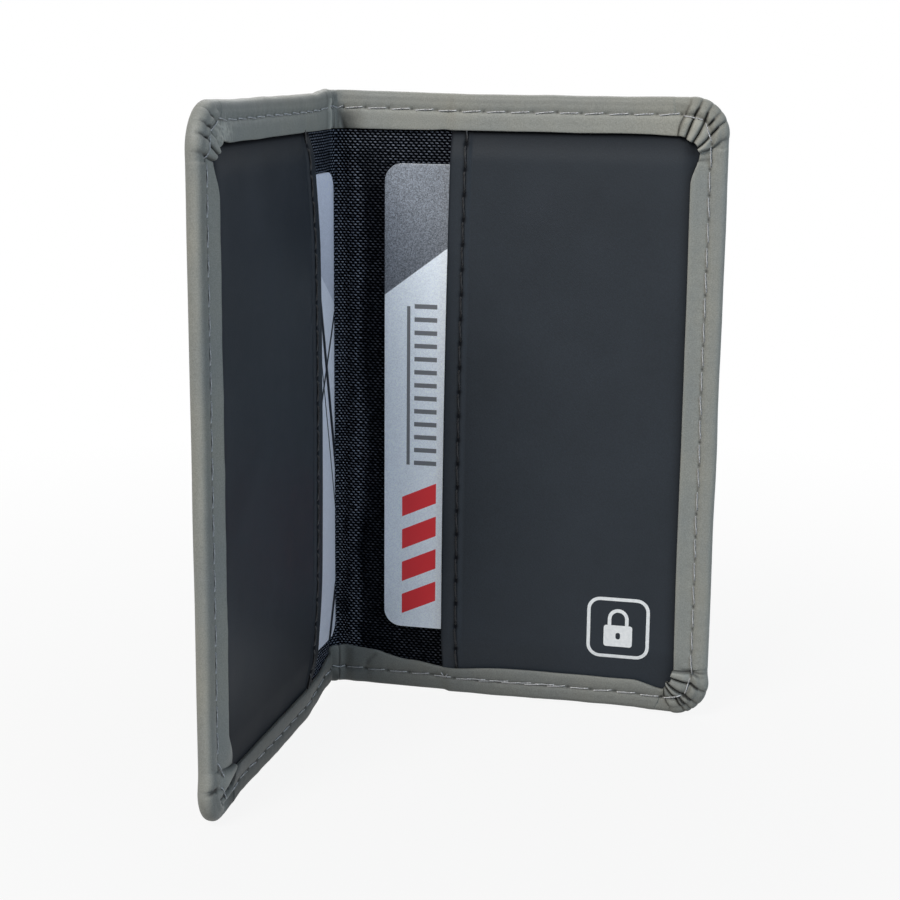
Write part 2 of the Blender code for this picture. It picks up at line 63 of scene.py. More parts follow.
# Sizes that the pieces share, in millimetres from the outer corner of the fold
holder = {
    "reach": (cadBox[1][0] - cadBox[0][0]) / mm,
    "height": (cadBox[1][2] - cadBox[0][2]) / mm,
    "bendRadius": 3.4,
    "skin": 0.6,            # thickness of the cover
    "thinEdge": 2.11,       # panel thickness at the hem near the fold
    "thickEdge": 2.58,      # and where the hem lies on the pocket
    "cardLevel": 1.51,
    "pocketRise": 0.83,     # how far the pocket climbs over the card
    "pocketBelly": 0.12,
    "pocketSheet": 0.4,
    "sideBorder": 3.4,
    "sideClimb": 3.0,
    "endBorder": 4.6,
    "endClimb": 7.0,
    "pocketEdges": {"right": 22.608, "left": 19.608},
    "pocketBows": {"right": 0.4, "left": 1.8},
    "pocketTilts": {"right": 0.6, "left": 0.0},
    "gapes": {"right": 0.0, "left": 0.8},       # how far the pocket's mouth stands open
    "foldDip": 0.48,        # how much closer the layers lie at the fold, where no board is between them
    "sag": 0.75,            # how far the left panel's lower end bulges out beside the fold, where no board is
    "sagHeight": 22.0,
    "stitchPitch": 4.35,
}
reach = holder["reach"]
height = holder["height"]
bend = holder["bendRadius"]
foldMiddle = bend * (1 - math.pi / 4)
foldX = cadBox[0][0] / mm
foldY = cadBox[1][1] / mm
sides = ("right", "left")


def smooth(share):
    share = min(max(share, 0.0), 1.0)
    return share * share * (3 - 2 * share)


# A soft step up, or down, that starts at a place and takes a length
def ramp(value, start, length):
    return smooth((value - start) / length)


def fall(value, start, length):
    return 1 - ramp(value, start, length)


def bell(distance, width):
    return math.exp(-(distance / width) ** 2)


def mix(low, high, share):
    return low + (high - low) * share


def wander(x, y, seed):
    return noise.noise(Vector((x, y, seed * 7.31)))


def sag(side, across, up):
    if side == "right":
        return 0.0
    return holder["sag"] * ramp(across, 1.0, 2.6) * fall(across, 4.2, 2.6) * fall(up, 0.0, holder["sagHeight"])


# A point of a panel: distance from the fold, depth from the outside, height; round the bend near the fold
def place(side, across, depth, up, stiff=False):
    if not stiff:
        depth -= sag(side, across, up)
    turn = max(0.0, (bend - across) / bend)
    radius = bend - depth
    x = bend + max(0.0, across - bend) - radius * math.sin(turn)
    y = radius * math.cos(turn) - bend
    x, y = foldX + x, foldY + y
    if side == "left":
        x, y = -y, -x
    return Vector((x * mm, y * mm, up * mm))


# How far a height is along the panel, from -1 to 1, and how far it is from the nearer end
def upShare(up):
    return up / height * 2 - 1


def fromNearEnd(up):
    return min(up, height - up)


def pocketEdge(side, up):
    share = upShare(up)
    return (holder["pocketEdges"][side] + holder["pocketTilts"][side] * share
            - holder["pocketBows"][side] * (1 - share * share))


def gape(side, across, up):
    return holder["gapes"][side] * fall(across - pocketEdge(side, up), 0.0, 16.0) * ramp(fromNearEnd(up), 5.0, 22.0)


def foldDip(across):
    return holder["foldDip"] * fall(across, 3.6, 4.6)


def pocketBase(side, across, up):
    rise = holder["pocketRise"] + holder["pocketBelly"] * (1 - upShare(up) ** 2)
    rise *= ramp(fromNearEnd(up), holder["endBorder"], holder["endClimb"])
    rise += gape(side, across, up)
    rise *= smooth((reach - across - holder["sideBorder"]) / holder["sideClimb"])
    return holder["cardLevel"] + rise


# Soft dots round needle holes: their sum at a place, for each width
def holeDots(holes, across, up, *widths):
    sums = [0.0] * len(widths)
    for hole in holes:
        gap = (across - hole[0]) ** 2 + (up - hole[1]) ** 2
        if gap < 1.0:
            sums = [total + math.exp(-gap / width) for total, width in zip(sums, widths)]
    return sums


def makeObject(name, mesh, material):
    made = bpy.data.objects.new(name, mesh)
    bpy.context.scene.collection.objects.link(made)
    made.data.materials.clear()
    made.data.materials.append(material)
    return made


# A mesh with marks on its points and, in a layer, a map in millimetres
def newMesh(name, points, faces, marks, layer=None, maps=()):
    mesh = bpy.data.meshes.new(name)
    mesh.from_pydata(points, [], faces)
    if layer:
        spots = mesh.uv_layers.new(name=layer).data
        for loop in mesh.loops:
            spots[loop.index].uv = maps[loop.vertex_index]
    for mark, values in marks.items():
        mesh.attributes.new(mark, "FLOAT", "POINT").data.foreach_set("value", values)
    return mesh


# Turns the normals out once a mend is made, and finds the hard edges by angle
def closeMesh(mesh, sharp=None, mend=None):
    form = bmesh.new()
    form.from_mesh(mesh)
    if mend:
        mend(form)
    bmesh.ops.recalc_face_normals(form, faces=form.faces)
    form.to_mesh(mesh)
    form.free()
    if sharp:
        mesh.shade_smooth()
        mesh.set_sharp_from_angle(angle=math.radians(sharp))
    return mesh


# Camera, where the photographer stood
camera = {
    "fromFoldCorner": (98.78, -320.79, 117.31),
    "turn": 13.336,
    "down": 12.258,
    "roll": 0.521,
    "lens": 73.67,
}


def makeCamera(values):
    turn = math.radians(values["turn"])
    down = math.radians(values["down"])
    roll = math.radians(values["roll"])
    forward = Vector((-math.sin(turn) * math.cos(down), math.cos(turn) * math.cos(down), -math.sin(down)))
    level = Vector((math.cos(turn), math.sin(turn), 0.0))
    upright = level.cross(forward)
    right = level * math.cos(roll) + upright * math.sin(roll)
    top = upright * math.cos(roll) - level * math.sin(roll)
    lens = bpy.data.cameras.new("camera")
    lens.lens = values["lens"]
    lens.sensor_width = 36.0
    lens.clip_start = 0.01
    made = bpy.data.objects.new("camera", lens)
    bpy.context.scene.collection.objects.link(made)
    turned = Matrix((right, top, -forward)).transposed().to_4x4()
    x, y, z = values["fromFoldCorner"]
    turned.translation = Vector(((foldX + x) * mm, (foldY + y) * mm, z * mm))
    made.matrix_world = turned
    bpy.context.scene.camera = made


makeCamera(camera)
print("camera placed")


# Shader helpers
def fillInputs(tree, node, values):
    for key, value in values.items():
        if isinstance(value, bpy.types.NodeSocket):
            tree.links.new(value, node.inputs[key])
        else:
            node.inputs[key].default_value = value
    return node


def addNode(tree, kind, values=None, **settings):
    made = tree.nodes.new(kind)
    for key, value in settings.items():
        setattr(made, key, value)
    return fillInputs(tree, made, values or {})


def calc(tree, operation, first, second=0.0, third=0.0, clamp=False):
    made = addNode(tree, "ShaderNodeMath", {0: first, 1: second, 2: third}, operation=operation, use_clamp=clamp)
    return made.outputs[0]


def mapRange(tree, value, low, high, newLow, newHigh):
    made = addNode(tree, "ShaderNodeMapRange", {0: value, 1: low, 2: high, 3: newLow, 4: newHigh})
    return made.outputs[0]


# Most of a noise lies between 0.3 and 0.7
def fromNoise(tree, value, low=0.0, high=1.0):
    return mapRange(tree, value, 0.3, 0.7, low, high)


def mixColour(tree, share, first, second, blend="MIX"):
    made = addNode(tree, "ShaderNodeMix", {0: share, 6: first, 7: second}, data_type="RGBA", blend_type=blend)
    return made.outputs[2]


def noiseAt(tree, where, scale, detail, roughness=0.5):
    values = {"Vector": where, "Scale": scale, "Detail": detail, "Roughness": roughness}
    return addNode(tree, "ShaderNodeTexNoise", values).outputs["Fac"]


def cellsAt(tree, where, scale, feature="F1"):
    return addNode(tree, "ShaderNodeTexVoronoi", {"Vector": where, "Scale": scale}, feature=feature).outputs


def bumped(tree, raised, distance, strength):
    return addNode(tree, "ShaderNodeBump", {"Height": raised, "Distance": distance, "Strength": strength}).outputs[0]


def objectPlace(tree):
    return addNode(tree, "ShaderNodeTexCoord").outputs["Object"]


def mapPlace(tree, layer):
    return addNode(tree, "ShaderNodeUVMap", uv_map=layer).outputs[0]


def attribute(tree, name):
    return addNode(tree, "ShaderNodeAttribute", attribute_name=name).outputs["Fac"]


# A group's inputs are named with a number each, or with the kind of their socket
def newGroup(name, inputs, outputs):
    group = bpy.data.node_groups.new(name, "ShaderNodeTree")
    for label, value in inputs.items():
        kind = value if isinstance(value, str) else "Float"
        socket = group.interface.new_socket(label, in_out="INPUT", socket_type="NodeSocket" + kind)
        if value != kind:
            socket.default_value = value
    for label, kind in outputs.items():
        group.interface.new_socket(label, in_out="OUTPUT", socket_type="NodeSocket" + kind)
    return group, group.nodes.new("NodeGroupInput").outputs, group.nodes.new("NodeGroupOutput")


def useGroup(tree, group, values):
    return addNode(tree, "ShaderNodeGroup", values, node_tree=group).outputs


def newMaterial(name):
    made = bpy.data.materials.new(name)
    made.use_nodes = True
    tree = made.node_tree
    tree.nodes.clear()
    shader = tree.nodes.new("ShaderNodeBsdfPrincipled")
    addNode(tree, "ShaderNodeOutputMaterial", {0: shader.outputs[0]})
    return made, tree, shader


# Grain of coated leather: fine pebbles, faint long creases and a slow change of tone
def makeGrainGroup():
    group, given, end = newGroup(
        "leatherGrain", {"Coordinates": "Vector", "Pebble scale": 2600.0, "Pebble depth": 0.5, "Tone scale": 60.0},
        {"Height": "Float", "Tone": "Float", "Speck": "Float"})
    where = given["Coordinates"]
    pebbles = cellsAt(group, where, given["Pebble scale"], "SMOOTH_F1")["Distance"]
    fine = noiseAt(group, where, 5200.0, 3.0)
    slow = noiseAt(group, where, given["Tone scale"], 4.0, 0.55)
    body = calc(group, "MULTIPLY", pebbles, given["Pebble depth"])
    body = calc(group, "MULTIPLY_ADD", fine, 0.35, body)
    body = calc(group, "MULTIPLY_ADD", noiseAt(group, where, 420.0, 5.0), 0.6, body)
    fillInputs(group, end, {"Height": body, "Tone": slow, "Speck": fine})
    return group


# Painted shade in creases, hollows, holes and under edges, and lighter places that are partly wear and partly painted
# highlight, from the marks that the meshes carry
shadeWearHighlightColours = {
    "paintedShadeTone": (0.006, 0.006, 0.007, 1),
    "wearAndHighlight": (0.64, 0.62, 0.55, 1),
}


def makeShadeWearHighlightGroup():
    group, given, end = newGroup(
        "paintedShadeWearAndHighlight", {"Colour": "Color", "Painted shade": 0.0, "Wear and highlight": 0.0, "Painted shade strength": 0.7, "Wear and highlight strength": 0.2},
        {"Colour": "Color"})
    # painted shade darkens the colour towards near black, and wear and painted highlight lighten it
    shade = calc(group, "MULTIPLY", given["Painted shade"], given["Painted shade strength"], clamp=True)
    dark = mixColour(group, shade, given["Colour"], shadeWearHighlightColours["paintedShadeTone"])
    light = calc(group, "MULTIPLY", given["Wear and highlight"], given["Wear and highlight strength"], clamp=True)
    fillInputs(group, end, {"Colour": mixColour(group, light, dark, shadeWearHighlightColours["wearAndHighlight"])})
    return group


# Plain woven nylon: short slanted floats in staggered rows, from a map in millimetres
def makeWeaveGroup():
    group, given, end = newGroup(
        "nylonWeave", {"Map": "Vector", "Float length": 0.94, "Row height": 0.49, "Slant": 0.30},
        {"Height": "Float", "Float": "Float", "Gap": "Float"})

    def fromMiddle(value):
        return calc(group, "SUBTRACT", calc(group, "FRACT", value), 0.5)

    def squared(value, half):
        return calc(group, "POWER", calc(group, "DIVIDE", calc(group, "ABSOLUTE", value), half), 2.0)

    parts = addNode(group, "ShaderNodeSeparateXYZ", {0: given["Map"]})
    rows = calc(group, "DIVIDE", parts.outputs[1], given["Row height"])
    inRow = fromMiddle(rows)
    along = calc(group, "DIVIDE", parts.outputs[0], given["Float length"])
    along = calc(group, "MULTIPLY_ADD", calc(group, "FLOOR", rows), 0.5, along)
    along = calc(group, "MULTIPLY_ADD", inRow, given["Slant"], along)
    body = calc(group, "SUBTRACT", 1.0, squared(fromMiddle(along), 0.42))
    body = calc(group, "MAXIMUM", calc(group, "SUBTRACT", body, squared(inRow, 0.38)), 0.0)
    dome = calc(group, "POWER", body, 0.5)
    ribbed = calc(group, "MULTIPLY_ADD", noiseAt(group, given["Map"], 9.0, 2.0), 0.25, dome)
    fillInputs(group, end, {"Height": ribbed, "Float": dome,
                            "Gap": calc(group, "SUBTRACT", 1.0, dome, clamp=True)})
    return group


grainGroup = makeGrainGroup()
shadeWearHighlightGroup = makeShadeWearHighlightGroup()
weaveGroup = makeWeaveGroup()


# Finish of each stuff: colours are linear, depths are metres of bump
finishes = {
    "leather": {"low": (0.216, 0.227, 0.219, 1), "high": (0.266, 0.264, 0.234, 1), "rough": 0.50,
                "bump": 0.00005, "paintedShadeStrength": 0.88, "paintedShadeRough": 0.1, "wearAndHighlightStrength": 0.50, "pebbles": 2600.0},
    "pocket": {"low": (0.0112, 0.0158, 0.0222, 1), "high": (0.0170, 0.0225, 0.0305, 1), "rough": 0.52,
               "bump": 0.000025, "paintedShadeStrength": 0.90, "paintedShadeRough": 0.4, "wearAndHighlightStrength": 0.05, "pebbles": 3400.0},
    "nylon": {"gap": (0.0014, 0.0017, 0.0026, 1), "paintedFloatGlint": (0.190, 0.215, 0.275, 1), "rough": 0.36,
              "bump": 0.00025},
    "thread": {"low": (0.20, 0.20, 0.205, 1), "high": (0.60, 0.60, 0.61, 1)},
    "blackThread": {"low": (0.0015, 0.0015, 0.002, 1), "high": (0.008, 0.009, 0.012, 1)},
    "leatherShine": 0.22,
    "pocketShine": (0.28, 0.04),    # where it is plain, and where painted shade lies
}


def leatherMaterial(name, values):
    made, tree, shader = newMaterial(name)
    grain = useGroup(tree, grainGroup, {"Coordinates": objectPlace(tree), "Pebble scale": values["pebbles"]})
    # Painted shade, carried by the meshes, darkens the colour and makes it rougher
    paintedShade = attribute(tree, "paintedShade")
    colour = mixColour(tree, fromNoise(tree, grain["Tone"]), values["low"], values["high"])
    speck = mapRange(tree, grain["Speck"], 0.35, 0.65, 0.86, 1.12)
    colour = mixColour(tree, 1.0, colour, speck, "MULTIPLY")
    rough = fromNoise(tree, grain["Tone"], values["rough"] - 0.05, values["rough"] + 0.06)
    rough = calc(tree, "MULTIPLY_ADD", paintedShade, values["paintedShadeRough"], rough, clamp=True)
    worn = useGroup(tree, shadeWearHighlightGroup, {"Colour": colour, "Painted shade": paintedShade, "Wear and highlight": attribute(tree, "wearAndHighlight"),
                                      "Painted shade strength": values["paintedShadeStrength"], "Wear and highlight strength": values["wearAndHighlightStrength"]})
    fillInputs(tree, shader, {"Base Color": worn["Colour"], "Roughness": rough,
                              "Normal": bumped(tree, grain["Height"], values["bump"], 0.8)})
    return made, tree, shader


def nylonMaterial(name, values):
    made, tree, shader = newMaterial(name)
    fabric = mapPlace(tree, "fabric")
    weave = useGroup(tree, weaveGroup, {"Map": fabric})
    # The floats' lighter colour is a painted glint on black nylon, and the lining's painted shade dims it
    core = mapRange(tree, weave["Float"], 0.42, 0.95, 0.0, 1.0)
    lit = calc(tree, "SUBTRACT", 1.0, calc(tree, "MULTIPLY", attribute(tree, "paintedShade"), 0.85), clamp=True)
    uneven = calc(tree, "MULTIPLY", fromNoise(tree, noiseAt(tree, fabric, 0.25, 3.0), 0.65, 1.35),
                  fromNoise(tree, noiseAt(tree, fabric, 1.6, 2.0), 0.2, 1.8))
    core = calc(tree, "MULTIPLY", core, calc(tree, "MULTIPLY", lit, uneven))
    fillInputs(tree, shader, {
        "Base Color": mixColour(tree, core, values["gap"], values["paintedFloatGlint"]),
        "Roughness": mapRange(tree, weave["Gap"], 0.0, 1.0, values["rough"], 0.9),
        "Normal": bumped(tree, weave["Height"], values["bump"], 1.0),
        "Specular IOR Level": calc(tree, "MULTIPLY", core, 0.45)})
    return made


def threadMaterial(name, values):
    made, tree, shader = newMaterial(name)
    parts = addNode(tree, "ShaderNodeSeparateXYZ", {0: mapPlace(tree, "lay")})
    slant = calc(tree, "MULTIPLY_ADD", parts.outputs[0], 5.0, calc(tree, "MULTIPLY", parts.outputs[1], 2.0))
    ply = calc(tree, "SINE", calc(tree, "MULTIPLY", slant, 2 * math.pi))
    # The colour follows the twist: painted shade in the grooves between plies and painted highlight on their crests
    share = mapRange(tree, ply, -1.0, 0.6, 0.0, 1.0)
    fillInputs(tree, shader, {"Base Color": mixColour(tree, share, values["low"], values["high"]),
                              "Normal": bumped(tree, ply, 0.00003, 0.7), "Roughness": 0.55})
    return made


greyLeather, tree, shader = leatherMaterial("greyCoatedLeather", finishes["leather"])
shader.inputs["Specular IOR Level"].default_value = finishes["leatherShine"]
blackLeather, tree, shader = leatherMaterial("blackCoatedLeather", finishes["pocket"])
# Painted shade also takes away the pocket's shine
shine = mapRange(tree, attribute(tree, "paintedShade"), 0.0, 1.0, *finishes["pocketShine"])
tree.links.new(shine, shader.inputs["Specular IOR Level"])
blackNylon = nylonMaterial("blackNylonWeave", finishes["nylon"])
greyThread = threadMaterial("greyTwistedThread", finishes["thread"])
blackThread = threadMaterial("blackTwistedThread", finishes["blackThread"])
print("leather, nylon and thread finishes made")
# Turned edge of the cover, from the fold round the outside of a panel and back to the fold
edge = {
    "stitchInset": 2.95,
    "topWidth": 6.3,
    "sideWidth": 6.1,
    "bottomWidth": 5.4,
    "bottomWidthAtFold": 6.9,
    "roll": 1.35,
    "stepPlace": {"right": 22.9, "left": 20.6},
    "stepRun": {"right": 1.1, "left": 3.5},
    "groove": 0.15,
    "lobes": 0.09,
    "pucker": 0.035,
    "rings": (10.0, 13.0, 18.0, 26.0, 36.0, 46.0, 54.9),
    "cornerReach": (9.5, 8.5),      # how far a gathered corner goes along the end and along the far edge
    # Places are distances from the far edge and from the end. "start" and "end" are the ends of the gathers at
    # the hem's inner edge. An inner crease runs from there to the stitches, an outer one from there outwards.
    "corners": {
        ("right", "top"): {
            "radius": 6.5, "start": (8.7, 6.5), "end": (4.7, 9.2), "bow": 0.75, "rise": 1.1, "ragged": 0.45,
            "bulge": 0.1,
            "inside": (((8.55, 6.5), (7.4, 3.2)), ((7.2, 6.9), (5.9, 3.3)), ((5.75, 7.3), (3.95, 3.6)),
                       ((4.75, 8.3), (2.8, 6.0)), ((4.2, 9.3), (2.2, 8.4))),
            "outside": (((7.4, 3.2), (6.6, 1.4)), ((5.9, 3.3), (4.9, 1.5)), ((3.95, 3.6), (3.5, 1.9)),
                        ((3.3, 4.6), (2.0, 3.0)), ((2.8, 6.0), (0.9, 4.0)), ((2.2, 8.4), (0.1, 6.4)))},
        ("right", "bottom"): {
            "radius": 6.2, "start": (7.9, 4.1), "end": (6.0, 8.1), "bow": 0.25, "rise": 1.0, "ragged": 0.9,
            "bulge": 0.45,
            "inside": (((7.6, 2.9), (7.5, 1.9)), ((7.0, 4.0), (5.3, 2.5)), ((6.5, 4.8), (3.8, 3.4)),
                       ((6.1, 6.4), (3.3, 5.8)), ((5.9, 7.9), (2.6, 7.6))),
            "outside": (((7.5, 2.3), (6.2, 0.9)), ((5.3, 2.5), (4.3, 1.3)), ((4.5, 2.4), (2.9, 1.1)),
                        ((3.8, 3.4), (1.9, 2.1)), ((3.3, 5.8), (1.6, 4.6)), ((2.6, 7.6), (0.6, 6.6)))},
        ("left", "top"): {
            "radius": 7.4, "start": (9.4, 5.9), "end": (5.0, 8.8), "bow": 0.45, "rise": 1.0, "ragged": 0.35,
            "bulge": 0.25,
            "inside": (((9.2, 5.9), (8.8, 3.2)), ((6.6, 6.6), (4.8, 4.4)), ((5.7, 7.5), (3.4, 6.0)),
                       ((5.1, 8.6), (3.1, 7.8))),
            "outside": (((8.4, 3.0), (7.0, 1.2)), ((6.0, 3.0), (3.6, 1.4)), ((4.6, 4.2), (1.6, 2.9)),
                        ((3.4, 5.6), (0.6, 4.4)), ((3.1, 7.8), (0.9, 7.2)))},
        ("left", "bottom"): {
            "radius": 5.0, "start": (10.3, 4.8), "end": (8.6, 7.5), "bow": 0.1, "rise": 0.95, "ragged": 0.6,
            "bulge": 0.85,
            "inside": (((10.2, 4.1), (6.4, 2.2)), ((9.3, 5.2), (5.1, 3.75)), ((8.8, 7.0), (4.1, 8.2))),
            "outside": (((6.4, 2.2), (4.6, 1.0)), ((3.4, 5.4), (0.7, 6.0)), ((4.1, 8.2), (2.4, 8.6)))},
    },
    # Single creases: side, end, from and to as distances from the fold and from the end, depth, width
    "wrinkles": (
        ("right", "top", (66.4, 10.5), (68.6, 10.5), 0.16, 0.30),
        ("right", "top", (1.6, 3.6), (3.0, 6.1), 0.12, 0.80),
        ("left", "top", (4.7, 0.4), (4.4, 2.5), 0.45, 0.45),
        ("left", "top", (3.2, 2.0), (2.0, 6.3), 0.50, 0.46),
        ("right", "bottom", (66.2, 8.4), (69.9, 7.6), 0.14, 0.28),
        ("right", "bottom", (7.4, 4.0), (9.2, 6.0), 0.07, 0.50),
        ("left", "bottom", (67.2, 4.6), (70.6, 5.4), 0.16, 0.35),
        ("left", "bottom", (62.2, 5.2), (66.2, 3.8), 0.35, 0.45),
        ("left", "bottom", (61.9, 4.75), (66.0, 3.35), 0.23, 0.50),
    ),
    # How the outline waves: side, end, height, then where it rises and over what length, where it falls and how
    "waves": (
        ("left", "bottom", 1.1, 1.5, 4.5, 10.5, 6.5),
        ("left", "bottom", -0.3, 16.0, 6.0, 40.0, 20.0),
        ("right", "bottom", -0.2, 22.4, 0.9, 30.0, 14.0),
        ("left", "top", -0.42, -9.0, 1.0, 8.6, 4.5),
        ("right", "top", -0.42, -9.0, 1.0, foldMiddle, 28.0),
    ),
    # Marks of the hem beside the fold: side, end, kind, distance from the fold, width, amount at the outline, and
    # what is added to it towards the hem's inner edge
    "foldMarks": (
        ("both", "top", "relief", foldMiddle, 0.50, -0.08, -0.14),
        ("both", "top", "paintedShade", foldMiddle, 0.35, 0.12, 0.15),
        ("both", "top", "paintedShade", foldMiddle + 1.6, 2.2, 0.14, 0.0),
        ("left", "top", "relief", 6.3, 1.0, 0.42, 0.0),
        ("left", "top", "relief", 3.8, 0.6, 0.20, 0.0),
        ("left", "top", "paintedShade", 8.3, 0.45, 0.30, 0.0),
        ("both", "bottom", "relief", foldMiddle, 0.35, -0.18, 0.0),
        ("both", "bottom", "paintedShade", foldMiddle, 0.16, 0.55, 0.0),
        ("left", "bottom", "wearAndHighlight", 1.7, 0.5, 0.12, 0.0),
        ("right", "bottom", "paintedShade", foldMiddle + 1.0, 3.0, 0.16, 0.0),
        ("right", "bottom", "relief", foldMiddle + 4.2, 1.2, 0.16, 0.0),
        ("right", "bottom", "relief", foldMiddle + 6.6, 1.2, -0.12, 0.0),
    ),
    # Places across the hem, from its inner edge outwards on the back, and from the roll inwards on its face
    "backInsets": (5.0, 4.1, 3.5, 3.15, 2.95, 2.75, 2.4, 1.9, 1.6),
    "faceInsets": (1.6, 1.85, 2.1, 2.35, 2.55, 2.75, 2.95, 3.15, 3.35, 3.6, 3.9),
    "faceShares": (0.16, 0.33, 0.5, 0.66, 0.8, 0.9, 0.96, 1.0),
    "rollSteps": 14,
    "rollPower": 2 / 2.3,
}


def edgeThickness(side, across):
    step = smooth((across - edge["stepPlace"][side]) / edge["stepRun"][side] / 2 + 0.5)
    return mix(holder["thinEdge"], holder["thickEdge"], step) - foldDip(across)


def hemWidth(side, end, across):
    if end == "top":
        width = edge["topWidth"] + 0.10 * wander(across * 0.12, 3.0, 1)
        return width - 0.12 * bell(across - 21.5, 1.0)
    near = fall(across, 9.0, 7.0)
    width = mix(edge["bottomWidth"], edge["bottomWidthAtFold"], near)
    width += 0.30 * bell(across - 2.6, 2.4) - 0.25 * bell(across - 11.5, 2.6)
    if side == "right":
        width -= 0.85 * ramp(across, 16.0, 7.0) * fall(across, 23.5, 11.0)
    return width + 0.10 * wander(across * 0.15, 9.0, 2)


# A row across the hem of a gathered corner: its ends on the outline and on the inner edge, before any raggedness
def cornerRow(side, end, share):
    corner = edge["corners"][(side, end)]
    radius = corner["radius"]
    before, after = edge["cornerReach"][0] - radius, edge["cornerReach"][1] - radius
    total = before + radius * math.pi / 2 + after
    walk = share * total
    if walk < before:
        outer = (reach - radius - before + walk, 0.0)
    elif walk > total - after:
        outer = (reach, radius + walk - (total - after))
    else:
        turn = (walk - before) / radius
        outer = (reach - radius + radius * math.sin(turn), radius - radius * math.cos(turn))
    swell = corner["bulge"] * (0.5 + 0.5 * bell(share - 0.35, 0.3))
    swell *= fall(share, 0.75, 0.25)
    outer = (outer[0] + swell * math.sin(share * math.pi / 2), outer[1] - swell * math.cos(share * math.pi / 2))
    bow = corner["bow"] * 4 * share * (1 - share)
    inner = (reach - mix(corner["start"][0], corner["end"][0], share) + bow * 0.5,
             mix(corner["start"][1], corner["end"][1], share) - bow * 0.85)
    return outer, inner, walk


# The share of a corner whose row passes a place
def rowShare(side, end, spot):
    best = None
    for number in range(201):
        share = number / 200
        outer, inner, _ = cornerRow(side, end, share)
        along = Vector(inner) - Vector(outer)
        point = Vector((reach - spot[0], spot[1])) - Vector(outer)
        off = abs(point.x * along.y - point.y * along.x) / along.length
        if best is None or off < best[0]:
            best = (off, share)
    return best[1]


for (side, end), corner in edge["corners"].items():
    for kind in ("inside", "outside"):
        corner[kind] = [tuple(rowShare(side, end, spot) for spot in crease) for crease in corner[kind]]


# A station is a row across the hem: its place on the outline and on the hem's inner edge, its kind, its share of
# the corner, how far along its run it is, and its share of the way along the outside's rings
def newStation(side, end, kind, outer, inner, run, share=0.0, ring=0.0):
    if end == "top" and kind != "side":
        outer, inner = (outer[0], height - outer[1]), (inner[0], height - inner[1])
    return {"side": side, "end": end, "kind": kind, "outer": outer, "inner": inner, "run": run, "share": share,
            "ring": ring, "width": (Vector(inner) - Vector(outer)).length}


def endStations(side, end, places):
    corner = edge["corners"][(side, end)]
    run = places[-1]
    made = []
    for across in places:
        near = smooth((across - run + 4.0) / 4.0)
        width = mix(hemWidth(side, end, across), corner["start"][1], near)
        inner = across + near * (reach - corner["start"][0] - run)
        wave = 0.10 * wander(across * 0.16, 5.0, 3) * ramp(across, foldMiddle, 4.0) - corner["bulge"] * 0.5 * near
        for whose, which, amount, start, length, drop, dropLength in edge["waves"]:
            if (whose, which) == (side, end):
                wave += amount * ramp(across, start, length) * fall(across, drop, dropLength)
        if (side, end) == ("left", "top"):
            wave -= 0.14 * bell(across - 6.5, 1.4)
        made.append(newStation(side, end, "end", (across, wave), (inner, width), across,
                               ring=(across - foldMiddle) / (run - foldMiddle)))
    return made


def cornerStations(side, end, count=110):
    corner = edge["corners"][(side, end)]
    shares = [crease[0] for crease in corner["inside"]]
    made = []
    for index in range(1, count):
        share = index / count
        outer, inner, walk = cornerRow(side, end, share)
        push = corner["ragged"] * tubeShape(shares, share, 5.2)[2] * 1.2
        push = (Vector(inner) - Vector(outer)).normalized() * push
        made.append(newStation(side, end, "corner", outer, (inner[0] + push.x, inner[1] + push.y), walk, share))
    return made


def sideStations(side, count=200):
    low = edge["cornerReach"][1]
    made = []
    for index in range(count + 1):
        share = index / count
        up = mix(low, height - low, share)
        end = "bottom" if up < height / 2 else "top"
        corner = edge["corners"][(side, end)]
        lean = (corner["end"][1] - low) * fall(fromNearEnd(up), low, 8.0)
        innerUp = up + lean if end == "bottom" else up - lean
        notch = fall(fromNearEnd(innerUp), corner["end"][1], 5.5)
        width = mix(edge["sideWidth"] + 0.12 * wander(up * 0.06, 2.0, 4), corner["end"][0], notch)
        wave = 0.12 * wander(up * 0.09, 8.0, 5) * ramp(fromNearEnd(up), low, 10.0)
        made.append(newStation(side, end, "side", (reach + wave, up), (reach - width, innerUp), up, share, share))
    return made


def edgeStations(side):
    run = reach - edge["cornerReach"][0]
    places = []
    across = foldMiddle
    while across < run:
        places.append(across)
        across += 0.12 if across < 5.0 else 0.20 if across < 14.0 else 0.42
    places.append(run)
    return (endStations(side, "bottom", places) + cornerStations(side, "bottom") + sideStations(side)
            + cornerStations(side, "top")[::-1] + endStations(side, "top", places)[::-1])


# Height of a gather between two creases, how deep in a crease the place is, and how far its cut end stands out
def tubeShape(borders, share, span, width=0.2):
    last = len(borders) - 1
    gap = max(bell(abs(share - border) * span, width) * (0.5 if number in (0, last) else 1.0)
              for number, border in enumerate(borders))
    if share <= borders[0] or share >= borders[-1]:
        return 0.0, gap, 0.0
    index = max(number for number in range(last) if borders[number] <= share)
    part = (share - borders[index]) / (borders[index + 1] - borders[index])
    body = (1 - abs(2 * part - 1) ** 2.6) ** 0.55
    size = 0.84 + 0.34 * ((index * 0.618 + 0.1) % 1.0)
    reachOut = (((index * 0.414 + 0.3) % 1.0) - 0.4) * body
    return body * size, gap, reachOut


